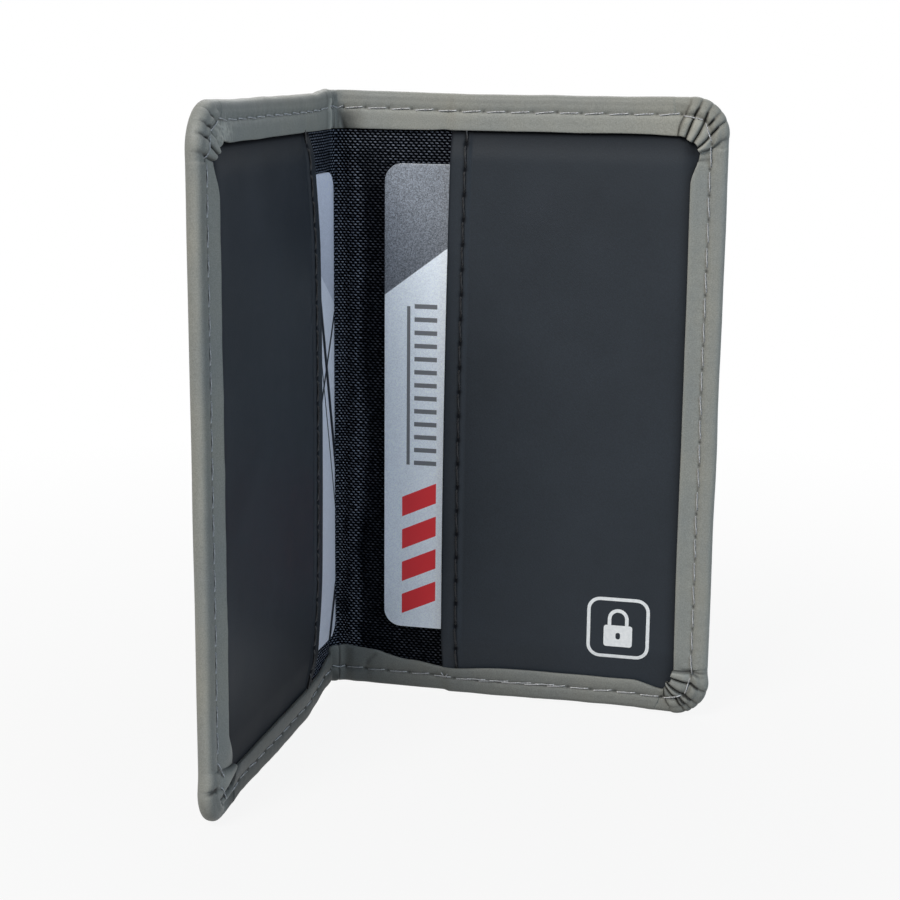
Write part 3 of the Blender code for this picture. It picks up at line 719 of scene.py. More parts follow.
# The gathers of a corner at a distance from the outline: their height, painted shade in their creases, and a lighter
# mark of wear and painted highlight on their tops
def gathers(station, inset):
    corner = edge["corners"][(station["side"], station["end"])]
    share, width = station["share"], station["width"]
    stitch = edge["stitchInset"]
    part = (inset - stitch) / (width - stitch)
    borders = sorted(mix(crease[1], crease[0], min(max(part, -0.2), 1.0)) for crease in corner["inside"])
    body, gap, _ = tubeShape(borders, share, mix(8.5, 5.2, min(max(part, 0.0), 1.0)), 0.18)
    inner = smooth((inset - stitch + 0.5) / 1.1)
    calm = smooth(share / 0.05) * ramp(1, share, 0.05)
    calm *= smooth((share - borders[0]) / 0.04 + 1) * smooth((borders[-1] - share) / 0.04 + 1)
    relief = inner * (corner["rise"] * body * smooth((part + 0.25) / 0.7) - 0.34 * calm)
    # painted shade in the creases between gathers, and their tops a little lighter
    mark = 1.0 * gap * inner
    wearAndHighlightMark = 0.27 * ramp(body, 0.85, 0.2) * inner
    part = (inset - 0.8) / (stitch - 0.8)
    borders = sorted(mix(crease[1], crease[0], min(max(part, 0.0), 1.2)) for crease in corner["outside"])
    body, gap, _ = tubeShape(borders, share, 12.5, 0.26)
    outer = (1 - smooth((inset - stitch + 0.3) / 0.9)) * ramp(inset, 0.7, 1.3)
    relief += outer * (0.80 * body - 0.22)
    mark += 1.15 * gap * outer * ramp(inset, 0.8, 0.9)
    return relief, mark, wearAndHighlightMark


# A crease sinks the face and gets painted shade along it
def wrinkled(side, end, across, fromEnd):
    relief, mark = 0.0, 0.0
    for whose, which, first, second, depth, width in edge["wrinkles"]:
        if (whose, which) == (side, end):
            along = Vector(second) - Vector(first)
            point = Vector((across, fromEnd)) - Vector(first)
            share = min(max(point.dot(along) / along.length_squared, 0.0), 1.0)
            near = bell((point - along * share).length, width)
            relief -= depth * near
            mark += min(depth * 4.0, 0.9) * near ** 2
    return relief, mark, 0.0


# A scuffed, crumpled patch beside the gathers
def scuffed(across, up):
    patch = bell(reach - across - 9.6, 3.2) * bell(height - up - 4.5, 1.8)
    wearAndHighlightMark = 2.0 * patch * max(0.0, 0.45 + 1.7 * wander(across * 2.0, up * 2.0, 42))
    return 0.6 * patch * wander(across * 1.1, up * 1.1, 41), 0.0, wearAndHighlightMark


# The fold's crease and the surplus of the hem beside it, with painted shade in and beside the crease and lighter places
# of wear and painted highlight
def foldMarks(side, end, across, up, inward):
    inner = ramp(inward, 0.35, 0.3)
    sums = {"relief": 0.0, "paintedShade": 0.0, "wearAndHighlight": 0.0}
    for whose, which, kind, spot, width, amount, more in edge["foldMarks"]:
        if which == end and whose in (side, "both"):
            sums[kind] += (amount + more * inner) * bell(across - spot, width)
    # A lighter ridge on the left top hem: wear and painted highlight
    if (side, end) == ("left", "top"):
        sums["wearAndHighlight"] += 1.1 * bell(across - 6.2, 0.9) * (0.8 + 0.8 * wander(across * 0.9, up * 0.7, 43))
    # Painted shade on the right top hem beside the fold
    if (side, end) == ("right", "top"):
        away = across - foldMiddle
        sums["paintedShade"] += 0.50 * inner * ramp(away, 1.0, 2.0) * fall(away, 3.5, 4.0)
    return sums.values()


# The lower edge leans down a little and is darker towards the bottom: painted shade
def lowerEdge(side, across, up, inset):
    near = fall(up, 3.0, 7.0)
    paintedShadeTone = 0.30 * near
    if side == "left":
        paintedShadeTone = 0.64 * fall(up, 3.0, 11.0) * (1 - 0.85 * smooth((across - reach + 9.0) / 4.0))
    return 0.10 * ramp(inset, 2.2, 3.0) * near, paintedShadeTone, 0.0


# Painted shade: the rolled side of the edge is a little darker
def rollShade(side, up):
    return 0.17 * (1.0 if side == "left" else ramp(up, height - 12.0, 6.0))


# Raised and sunk places of the hem's face: (height over the plain face, painted shade, wear and painted highlight)
def hemRelief(station, inset, holes):
    side, end, kind = station["side"], station["end"], station["kind"]
    across, up = stationPoint(station, inset)
    inward = inset / station["width"]
    fromStitch = inset - edge["stitchInset"]
    calm = ramp(across, foldMiddle, 3.0)
    relief = -edge["groove"] * bell(fromStitch, 0.45) - 0.10 * ramp(inward, 0.90, 0.10)
    relief += edge["lobes"] * (bell(inset - 1.9, 0.65) + 0.8 * bell(inset - 4.4, 0.9))
    relief += (0.08 * wander(across * 0.22, up * 0.22, 6) + 0.03 * wander(across * 0.7, up * 0.7, 16)) * calm
    # Painted shade along the stitch groove and on the rolled side; the top hems get a little painted highlight
    paintedShade = 0.25 * bell(fromStitch, 0.20) + rollShade(side, up) * fall(inset, 1.2, 1.6)
    wearAndHighlight = 0.07 if (end, kind) == ("top", "end") else 0.0
    if kind != "corner":
        pucker = math.cos(2 * math.pi * station["run"] / holder["stitchPitch"] * 2)
        relief += edge["pucker"] * pucker * bell(fromStitch, 1.0) * calm
    parts = [wrinkled(side, end, across, height - up if end == "top" else up)]
    if kind == "corner":
        parts.append(gathers(station, inset))
    if end == "bottom":
        parts.append(lowerEdge(side, across, up, inset))
    elif side == "left":
        parts.append(scuffed(across, up))
    if kind == "end" and across - foldMiddle < 14.0:
        parts.append(foldMarks(side, end, across, up, inward))
    for lift, mark, wearAndHighlightMark in parts:
        relief, paintedShade, wearAndHighlight = relief + lift, paintedShade + mark, wearAndHighlight + wearAndHighlightMark
    # Needle holes sink the face and get painted shade
    deep, dark = holeDots(holes, across, up, 0.10, 0.055)
    return relief - 0.16 * deep, min(paintedShade + 0.9 * dark, 1.0), min(wearAndHighlight, 1.0)


def stationPoint(station, inset):
    share = inset / station["width"]
    return (mix(station["outer"][0], station["inner"][0], share), mix(station["outer"][1], station["inner"][1], share))


# How far the hem is lifted by the pocket's climb onto the card
def hemClimb(side, across, up, inset):
    lift = (pocketBase(side, across, up) - holder["cardLevel"]) * ramp(inset, 2.4, 1.0)
    return lift * ramp(across, 8.0, 8.0)


# The holes lie on the stitch line, one pitch apart, from the fold outwards
def stitchHoles(stations):
    line = [stationPoint(station, edge["stitchInset"]) for station in stations]
    lengths = [0.0]
    for first, second in zip(line, line[1:]):
        lengths.append(lengths[-1] + math.dist(first, second))
    count = max(2, round(lengths[-1] / holder["stitchPitch"]))
    pitch = lengths[-1] / count
    holes = []
    index = 0
    for number in range(count):
        walk = (number + 0.5) * pitch
        while index < len(lengths) - 2 and lengths[index + 1] < walk:
            index += 1
        share = (walk - lengths[index]) / (lengths[index + 1] - lengths[index])
        first, second = line[index], line[index + 1]
        holes.append((mix(first[0], second[0], share), mix(first[1], second[1], share), index))
    return holes


# A row of the cover, from the middle of its outside round the edge to the middle of its inside, as places and marks
def coverRow(side, station, holes):
    width = station["width"]
    thickness = edgeThickness(side, station["outer"][0])
    skin = holder["skin"]
    row = []

    # Each place keeps its painted shade and its mark of wear and painted highlight
    def add(inset, depth, fold=0.0, wearAndHighlightMark=0.0):
        across, up = stationPoint(station, inset)
        row.append((across, depth, up, fold, wearAndHighlightMark))

    def addRing(ring, depth):
        across, up = reach - ring, ring
        if station["kind"] == "end":
            across = mix(foldMiddle, reach - ring, station["ring"])
        elif station["kind"] == "side":
            up = mix(ring, height - ring, station["ring"])
        if station["kind"] != "side" and station["end"] == "top":
            up = height - ring
        row.append((across, depth, up, 0.0, 0.0))

    for ring in reversed(edge["rings"]):
        addRing(ring, 0.0)
    across, up = station["outer"]
    calm = ramp(across, foldMiddle, 4.0)
    for inset in (width, *edge["backInsets"]):
        x, z = stationPoint(station, inset)
        # Needle holes on the back get painted shade
        deep, dark = holeDots(holes, x, z, 0.10, 0.06)
        groove = 0.10 * bell(inset - edge["stitchInset"], 0.35) + 0.10 * deep
        add(inset, groove + 0.03 * wander(x * 0.2, z * 0.2, 7) * calm, 0.8 * dark)
    # rolled edge
    roll, half = edge["roll"], thickness / 2
    lift, fold, wearAndHighlightMark = hemRelief(station, roll, holes)
    # On the left the painted shade covers the whole roll
    dull = rollShade(side, up) * (0.7 if side == "left" else 0.0)
    for step in range(edge["rollSteps"] + 1):
        part = step / edge["rollSteps"]
        sine, cosine = math.sin(math.pi * part), math.cos(math.pi * part)
        raised = lift * ramp(part, 0.30, 0.55)
        worn = 0.18 * bell(math.pi * (part - 0.62), 0.35) * (0.6 + 0.8 * wander(across * 0.1, up * 0.1, 8))
        add(roll * (1 - sine ** edge["rollPower"]) - raised * sine * 0.8,
            half - half * math.copysign(abs(cosine) ** edge["rollPower"], cosine) - raised * cosine,
            max(fold * ramp(part, 0.4, 0.5), dull), max(0.0, worn))
    # face of the hem
    last = edge["faceInsets"][-1]
    for inset in edge["faceInsets"] + tuple(mix(last, width - 0.02, share) for share in edge["faceShares"]):
        lift, fold, wearAndHighlightMark = hemRelief(station, inset, holes)
        climb = hemClimb(side, *stationPoint(station, inset), inset)
        if inset > width - 0.05:
            lift -= 0.06
        add(inset, thickness + climb + lift, fold, wearAndHighlightMark)
    # cut edge, the back of the hem and the inside of the cover, with painted shade under the cut edge and on the back
    climb = hemClimb(side, *stationPoint(station, width), width)
    lift, fold, wearAndHighlightMark = hemRelief(station, width, holes)
    add(width, thickness + climb + lift - 0.14, fold, 0.17)
    add(width, thickness + climb - 0.45 + min(lift, 0.0) * 0.3, 0.35)
    for inset in (width - 0.05, mix(3.4, width, 0.5), 3.4, 2.4, 1.35):
        add(inset, thickness - skin + hemClimb(side, *stationPoint(station, inset), inset) + 0.02, 0.5)
    for inset, depth in ((skin + 0.1, thickness * 0.62), (skin + 0.1, thickness * 0.38), (1.35, skin - 0.02),
                         (width, skin - 0.02)):
        add(inset, depth)
    for ring in edge["rings"]:
        addRing(ring, skin - 0.02)
    return row


# Welds what meets at the corners and closes the ends at the fold
def closeEnds(form):
    bmesh.ops.remove_doubles(form, verts=form.verts, dist=1e-7)
    bmesh.ops.dissolve_degenerate(form, edges=form.edges, dist=1e-8)
    bmesh.ops.holes_fill(form, edges=[rim for rim in form.edges if rim.is_boundary], sides=0)


def makeCover(side):
    stations = edgeStations(side)
    holes = stitchHoles(stations)
    rows = [coverRow(side, station, [hole for hole in holes if abs(hole[2] - number) < 26])
            for number, station in enumerate(stations)]
    count = len(rows[0])
    spots = [spot for row in rows for spot in row]
    faces = []
    for first in range(len(rows) - 1):
        for base in range(first * count, first * count + count - 1):
            faces.append((base, base + 1, base + count + 1, base + count))
    name = "cover" + side.capitalize()
    mesh = newMesh(name, [place(side, across, depth, up) for across, depth, up, _, _ in spots], faces,
                   {"paintedShade": [spot[3] for spot in spots], "wearAndHighlight": [spot[4] for spot in spots]})
    return makeObject(name, closeMesh(mesh, 58, closeEnds), greyLeather), stations, holes


covers = {side: makeCover(side) for side in sides}
print("covers made")
# Places where the cover, linings and threads would turn from a panel to the fold, along a way that leans a little;
# blendFold works them out but only bakes each piece's transform
foldBlend = {
    "lean": 22.0,       # degrees
    "start": 6.6,       # distances along that way from the fold's outer corner
    "end": 1.7,
}


def blendFold(piece, side):
    lean = math.radians(foldBlend["lean"])
    for distance in (foldBlend["start"], foldBlend["end"]):
        x = foldX + math.cos(lean) * distance
        y = foldY + math.sin(lean) * distance
        if side == "left":
            x, y = -y, -x
    if side == "right":
        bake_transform(piece)
    else:
        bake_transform(piece)


# The nodes that a piece stands for: the fold's own goes with the right panel's piece
def withSpine(kind, side):
    return [kind + "_" + side] + ([kind + "_spine"] if side == "right" else [])


for side in sides:
    blendFold(covers[side][0], side)
    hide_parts(*withSpine("cover", side))


# A sheet of a panel with a face on each side, its rows up the panel and a map in millimetres
def makeSheet(name, side, columns, rows, face, back, marks=None, layer=None):
    points, maps = [], []
    values = {mark: [] for mark in (marks or {})}
    for surface in (face, back):
        for up in rows:
            for column in columns:
                across = column(up) if callable(column) else column
                points.append(place(side, across, surface(across, up), up))
                maps.append((across, up))
                for mark, function in (marks or {}).items():
                    values[mark].append(function(across, up) if surface is face else 0.0)
    count = len(columns)
    half = len(rows) * count
    faces = []
    for row in range(len(rows) - 1):
        for base in range(row * count, row * count + count - 1):
            faces.append((base, base + 1, base + count + 1, base + count))
            base += half
            faces.append((base, base + count, base + count + 1, base + 1))
    for low in range(count - 1):
        high = half - count + low
        faces.append((low, low + half, low + half + 1, low + 1))
        faces.append((high, high + 1, high + half + 1, high + half))
    for low in range(0, half - count, count):
        high = low + count - 1
        faces.append((low, low + count, low + count + half, low + half))
        faces.append((high, high + half, high + count + half, high + count))
    return closeMesh(newMesh(name, points, faces, values, layer, maps), 60)


def steps(low, high, spacing):
    count = max(1, round((high - low) / spacing))
    return [low + (high - low) * index / count for index in range(count + 1)]


# How far a sheet reaches at a height, with its corners rounded like the panel's
def roundedReach(side, inset, up):
    end = min(up, height - up)
    radius = edge["corners"][(side, "bottom" if up < height / 2 else "top")]["radius"]
    if end >= radius:
        return reach - inset
    return reach - radius + math.sqrt(max(0.0, (radius - inset) ** 2 - (radius - end) ** 2))


def shareColumns(side, start, inset, spacing):
    return [lambda up, share=share: mix(start, roundedReach(side, inset, up), share)
            for share in steps(0.0, 1.0, spacing / (reach - start))]


# Woven lining and the shield foil behind it
lining = {
    "level": 1.29,
    "thickness": 0.14,
    "inset": 1.5,
    "ripple": 0.10,
    "foilLevel": 1.14,
    "foilThickness": 0.08,
    "foilInset": 1.7,
    "foilEdge": 1.8,
    "taper": 0.4,       # how fast the ripples end where the right card slides out
    "taperEnd": 6.2,
}


def liningLift(side, across, up):
    shown = fall(across, 9.5, 1.0)
    calm = ramp(across, foldMiddle, 2.0) * ramp(fromNearEnd(up), 5.5, 4.0)
    lift = lining["ripple"] * (0.5 + wander(across * 0.35, up * 0.11, 11)) * shown
    low = fall(up, 26.0, 25.0)
    lift += 0.30 * low * max(0.0, 0.3 + wander(across * 0.4 + up * 0.12, up * 0.22, 12)) * shown
    if side == "right":
        lift += 0.34 * bell(across - 4.9 + 0.6 * math.sin(up * 0.07), 1.5) * shown
        lift = min(lift, lining["taper"] * max(0.0, lining["taperEnd"] - across))
    return max(0.0, lift) * calm - foldDip(across)


# Valleys of the lining, which catch no light
def liningShade(side, across, up):
    if side == "left":
        return 0.25 * bell(across - 3.9, 0.8)
    share = up / height
    top = ramp(share, 0.84, 0.1)
    mark = 0.96 * smooth((across - 5.3 - 1.3 * wander(up * 0.05, 1.0, 31)) / 2.4)
    mark = mark * (1 - 0.6 * top) + 0.22 * top
    hollow = max(0.0, 0.1 + 1.8 * wander(across * 0.35 + up * 0.08, up * 0.16, 32))
    return min(mark + 0.9 * smooth((0.36 - share) / 0.1) * hollow, 1.0)


# Rows or columns with a wide spacing in the middle and a close one at both ends
def endedSteps(inset, dense, spacing, start, wide):
    return (steps(inset, dense, spacing) + steps(start, height - start, wide)
            + steps(height - dense, height - inset, spacing))


def makeLining(side):
    columns = steps(foldMiddle, 11.0, 0.35) + shareColumns(side, 12.0, lining["inset"], 1.6)
    mesh = makeSheet(
        "lining" + side.capitalize(), side, columns, endedSteps(lining["inset"], 8.0, 0.5, 8.9, 0.9),
        lambda across, up: lining["level"] + lining["thickness"] + liningLift(side, across, up),
        lambda across, up: lining["level"] + liningLift(side, across, up),
        {"paintedShade": lambda across, up: liningShade(side, across, up)}, "fabric")
    return makeObject(mesh.name, mesh, blackNylon)


def foilMaterial():
    made, tree, shader = newMaterial("shieldFoil")
    where = objectPlace(tree)
    slow = noiseAt(tree, where, 90.0, 5.0)
    creases = cellsAt(tree, where, 240.0, "DISTANCE_TO_EDGE")["Distance"]
    raised = calc(tree, "MULTIPLY_ADD", slow, 0.8, creases)
    fillInputs(tree, shader, {"Base Color": (0.62, 0.63, 0.64, 1), "Metallic": 1.0,
                              "Roughness": fromNoise(tree, slow, 0.28, 0.46),
                              "Normal": bumped(tree, raised, 0.0002, 0.6)})
    return made


foilFinish = foilMaterial()


def makeFoil(side):
    columns = steps(foldMiddle, 8.0, 0.3) + shareColumns(side, 9.0, lining["foilEdge"], 8.0)
    mesh = makeSheet("foil" + side.capitalize(), side, columns, endedSteps(lining["foilEdge"], 7.0, 0.6, 12.0, 12.0),
                     lambda across, up: lining["foilLevel"] + lining["foilThickness"] - foldDip(across),
                     lambda across, up: lining["foilLevel"] - foldDip(across))
    return makeObject(mesh.name, mesh, foilFinish)


for kind, makePiece, inset in (("lining", makeLining, lining["inset"]),
                               ("shield_foil", makeFoil, lining["foilInset"])):
    for side in sides:
        piece = makePiece(side)
        blendFold(piece, side)
        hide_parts(*withSpine(kind, side))


print("linings and foils made")
# Pockets with a turned and stitched free edge
pocket = {
    "inset": 1.6,
    "strip": 3.1,
    "skive": 0.9,
    "stitchInset": 2.8,
    "groove": 0.10,
    "endStitch": 3.2,
    "middle": 4.4,          # columns are close together up to here from the free edge
    "nose": 0.38,           # the free edge is round up to here
    "noseColumns": (0.0, 0.03, 0.10, 0.22, 0.38),
    "noseDepth": 0.36,
}


def pocketHoles(side):
    low = pocket["endStitch"] + 1.0
    count = round((height - 2 * low) / holder["stitchPitch"])
    heights = [mix(low, height - low, index / count) for index in range(count + 1)]
    return [(pocketEdge(side, up) + pocket["stitchInset"], up) for up in heights]


def pocketTop(side, across, up, holes=()):
    inward = across - pocketEdge(side, up)
    top = pocketBase(side, across, up) + holder["pocketSheet"]
    fold = holder["pocketSheet"] * fall(inward, pocket["strip"], pocket["skive"])
    top += fold * mix(0.35, 1.0, ramp(fromNearEnd(up), 5.8, 3.5))
    top += 0.05 * bell(inward - 1.2, 0.7) - pocket["groove"] * bell(inward - pocket["stitchInset"], 0.4)
    top += 0.07 * ramp(inward, 4.5, 3.0) * wander(across * 0.07, up * 0.05, 21)
    return top - 0.12 * holeDots(holes, across, up, 0.12)[0]


# Painted shade on the pocket: shadow under the top hem and beside the side hem, darker towards the bottom on the left,
# and in the stitch groove, at the free edge and in the needle holes
def pocketPaintedShade(side, across, up, holes):
    inward = across - pocketEdge(side, up)
    underHem = height - up - edge["topWidth"]
    mark = 0.85 * bell(underHem, 0.55) + 0.42 * fall(underHem, 0.0, 5.5)
    mark += 0.40 * bell(reach - across - edge["sideWidth"] + 0.4, 1.5)
    if side == "left":
        mark += 0.60 * fall(up, 6.0, 24.0)
    mark += 0.45 * bell(inward - pocket["stitchInset"], 0.28) + 0.35 * bell(inward, 0.35)
    return min(mark + holeDots(holes, across, up, 0.20)[0], 1.0)


def makePocket(side):
    holes = pocketHoles(side)

    def along(inward, share=0.0):
        return lambda up: mix(pocketEdge(side, up) + inward, roundedReach(side, pocket["inset"] + 0.1, up), share)

    middle = pocket["middle"]
    columns = [along(inward) for inward in list(pocket["noseColumns"]) + steps(0.6, middle, 0.2)]
    columns += [along(middle, share) for share in steps(0.0, 1.0, 1 / 42)[1:]]

    def near(up):
        return [hole for hole in holes if abs(hole[1] - up) < 1.0]

    def rounded(across, up):
        part = 1 - min((across - pocketEdge(side, up)) / pocket["nose"], 1.0)
        return pocket["noseDepth"] * (1 - math.sqrt(max(0.0, 1 - part ** 2)))

    mesh = makeSheet("pocket" + side.capitalize(), side, columns,
                     steps(pocket["inset"], height - pocket["inset"], 0.5),
                     lambda across, up: pocketTop(side, across, up, near(up)) - rounded(across, up),
                     lambda across, up: pocketBase(side, across, up) + rounded(across, up),
                     {"paintedShade": lambda across, up: pocketPaintedShade(side, across, up, near(up)),
                      "wearAndHighlight": lambda across, up: 0.0})
    made = makeObject(mesh.name, mesh, blackLeather)
    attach(made, side + "_panel")
    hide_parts("pocket_" + side)
    return made, holes


pockets = {side: makePocket(side) for side in sides}
print("pockets made")
# Cards: plain silver plastic with flakes and a few bars of colour in place of printing
card = {
    "radius": 3.18,
    "right": {"start": 10.904, "low": 12.0},
    "left": {"start": 5.104, "low": 10.5},
    "width": 54.0,
    "height": 85.6,
    "thickness": 0.76,
    "softEdge": 0.09,
    "ink": (0.012, 0.014, 0.020, 1),
    "faces": {
        "right": {"base": (0.84, 0.91, 1.0, 1), "dark": (0.150, 0.168, 0.200, 1), "flake": 0.12, "flakeDark": 0.62,
                  "bars": ((3.4, 9.8, 1.0, 24.0, 6.2, 0.60, 0.45, (0.80, 0.040, 0.050, 1)),
                           (5.6, 9.8, 31.0, 61.0, 2.4, 0.34, 0.0, (0.17, 0.18, 0.20, 1)),
                           (4.2, 4.8, 31.0, 60.2, 60.0, 1.0, 0.0, (0.17, 0.18, 0.20, 1))),
                  "lines": ()},
        "left": {"base": (0.92, 0.92, 1.0, 1), "dark": (0.76, 0.77, 0.88, 1), "flake": 0.06, "flakeDark": 0.12,
                 "bars": (),
                 "lines": ((60.0, -1.9, 0.9), (34.0, 3.6, 2.6), (25.0, 3.6, 0.9), (9.0, -2.4, 1.8))},
    },
}


def within(tree, value, low, high):
    return calc(tree, "MULTIPLY", calc(tree, "GREATER_THAN", value, low), calc(tree, "LESS_THAN", value, high))


def cardMaterial(name, values):
    made, tree, shader = newMaterial(name)
    where = objectPlace(tree)
    parts = addNode(tree, "ShaderNodeSeparateXYZ", {0: mapPlace(tree, "layout")})
    across, up = parts.outputs[0], parts.outputs[1]
    flakes = cellsAt(tree, where, 5600.0)
    # a darker, more sparkling field above a straight slanting border
    border = calc(tree, "MULTIPLY_ADD", across, -0.75, up)
    field = mapRange(tree, border, 62.0, 62.2, 0.0, 1.0)
    depth = mapRange(tree, border, 60.0, 86.0, 0.85, 1.35)
    colour = mixColour(tree, field, values["base"], mixColour(tree, 1.0, values["dark"], depth, "MULTIPLY"))
    flake = mapRange(tree, field, 0.0, 1.0, values["flake"], values["flakeDark"])
    sparkle = calc(tree, "SUBTRACT", calc(tree, "MULTIPLY", flakes["Color"], 2.0), 1.0)
    colour = mixColour(tree, 1.0, colour, calc(tree, "MULTIPLY_ADD", sparkle, flake, 1.0), "MULTIPLY")
    cloud = fromNoise(tree, noiseAt(tree, where, 900.0, 3.0), 0.98, 1.02)
    colour = mixColour(tree, 1.0, colour, cloud, "MULTIPLY")
    # columns of slanting bars: their left, right, bottom, top, spacing, share of it that is filled, slope, colour
    for low, high, bottom, top, spacing, filled, slope, tone in values["bars"]:
        level = calc(tree, "MULTIPLY_ADD", across, -slope, up)
        beat = calc(tree, "FRACT", calc(tree, "DIVIDE", calc(tree, "SUBTRACT", level, bottom), spacing))
        inside = calc(tree, "MULTIPLY", within(tree, across, low, high), within(tree, level, bottom, top))
        inside = calc(tree, "MULTIPLY", inside, calc(tree, "LESS_THAN", beat, filled))
        colour = mixColour(tree, inside, colour, tone)
    # thin slanting lines: height at the card's edge, slope, half width
    for start, slope, half in values["lines"]:
        level = calc(tree, "MULTIPLY_ADD", across, -slope, up)
        off = calc(tree, "ABSOLUTE", calc(tree, "SUBTRACT", level, start))
        colour = mixColour(tree, mapRange(tree, off, half * 0.8, half * 1.2, 1.0, 0.0), colour, card["ink"])
    fillInputs(tree, shader, {"Base Color": colour, "Roughness": mapRange(tree, flakes["Color"], 0.0, 1.0, 0.30, 0.55),
                              "Normal": bumped(tree, flakes["Distance"], 0.00003, 0.5),
                              "Coat Weight": 0.2, "Coat Roughness": 0.15})
    return made


# Points round a box with round corners: its middle, half its width and height, and the steps of a corner
def roundedBox(x, y, halfWidth, halfHeight, radius, count):
    made = []
    for right, top, start in ((1, -1, -90), (1, 1, 0), (-1, 1, 90), (-1, -1, 180)):
        for step in range(count + 1):
            turn = math.radians(start + 90 * step / count)
            made.append((x + right * (halfWidth - radius) + radius * math.cos(turn),
                         y + top * (halfHeight - radius) + radius * math.sin(turn)))
    return made


def makeCard(side, material):
    values = card[side]
    middleX, middleY = card["width"] / 2, card["height"] / 2
    outline = roundedBox(middleX, middleY, middleX, middleY, card["radius"], 12)
    soft, thickness = card["softEdge"], card["thickness"]
    profile = ((soft, 0.0), (soft * 0.3, soft * 0.3), (0.0, soft), (0.0, thickness - soft),
               (soft * 0.3, thickness - soft * 0.3), (soft, thickness))
    points, maps = [], []
    for inset, depth in profile:
        for x, y in outline:
            x += math.copysign(inset, middleX - x)
            y += math.copysign(inset, middleY - y)
            points.append(place(side, values["start"] + x, holder["cardLevel"] + depth, values["low"] + y, stiff=True))
            maps.append((x, y))
    count = len(outline)
    last = len(points) - count
    faces = [tuple(range(count)), tuple(range(last, last + count))]
    for base in range(0, last, count):
        for index in range(count):
            after = (index + 1) % count
            faces.append((base + index, base + after, base + count + after, base + count + index))
    name = "card" + side.capitalize()
    mesh = closeMesh(newMesh(name, points, faces, {}, "layout", maps), 32)
    made = makeObject(name, mesh, material)
    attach(made, side + "_card")
    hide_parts("card_" + side)


makeCard("right", cardMaterial("cardSilver", card["faces"]["right"]))
makeCard("left", cardMaterial("cardBlueSilver", card["faces"]["left"]))
print("cards made")
# Stitches: each one is a short line over the surface, swept by a nodes tree into a twisted thread
stitches = {
    "radius": 0.145,
    "blackRadius": 0.23,
    "sides": 8,
    "turns": 1.6,
    "reach": 0.90,      # share of the pitch that shows
    "dive": 0.34,
    "slant": 0.34,
    # right side's bottom: sewn over twice between these distances from the fold, with a knot at the start
    "doubled": (22.0, 50.0),
    "knot": (((21.9, 3.7), (22.6, 2.5)), ((22.6, 2.5), (23.3, 3.6))),
    # left side's bottom corner: two long stitches, as distances from the far edge and from the end
    "long": (((2.3, 9.8), (4.3, 6.1)), ((3.0, 5.6), (5.8, 1.9))),
    "points": 9,
    "sink": 0.10,       # how far the stitches behind lie in the cover
}


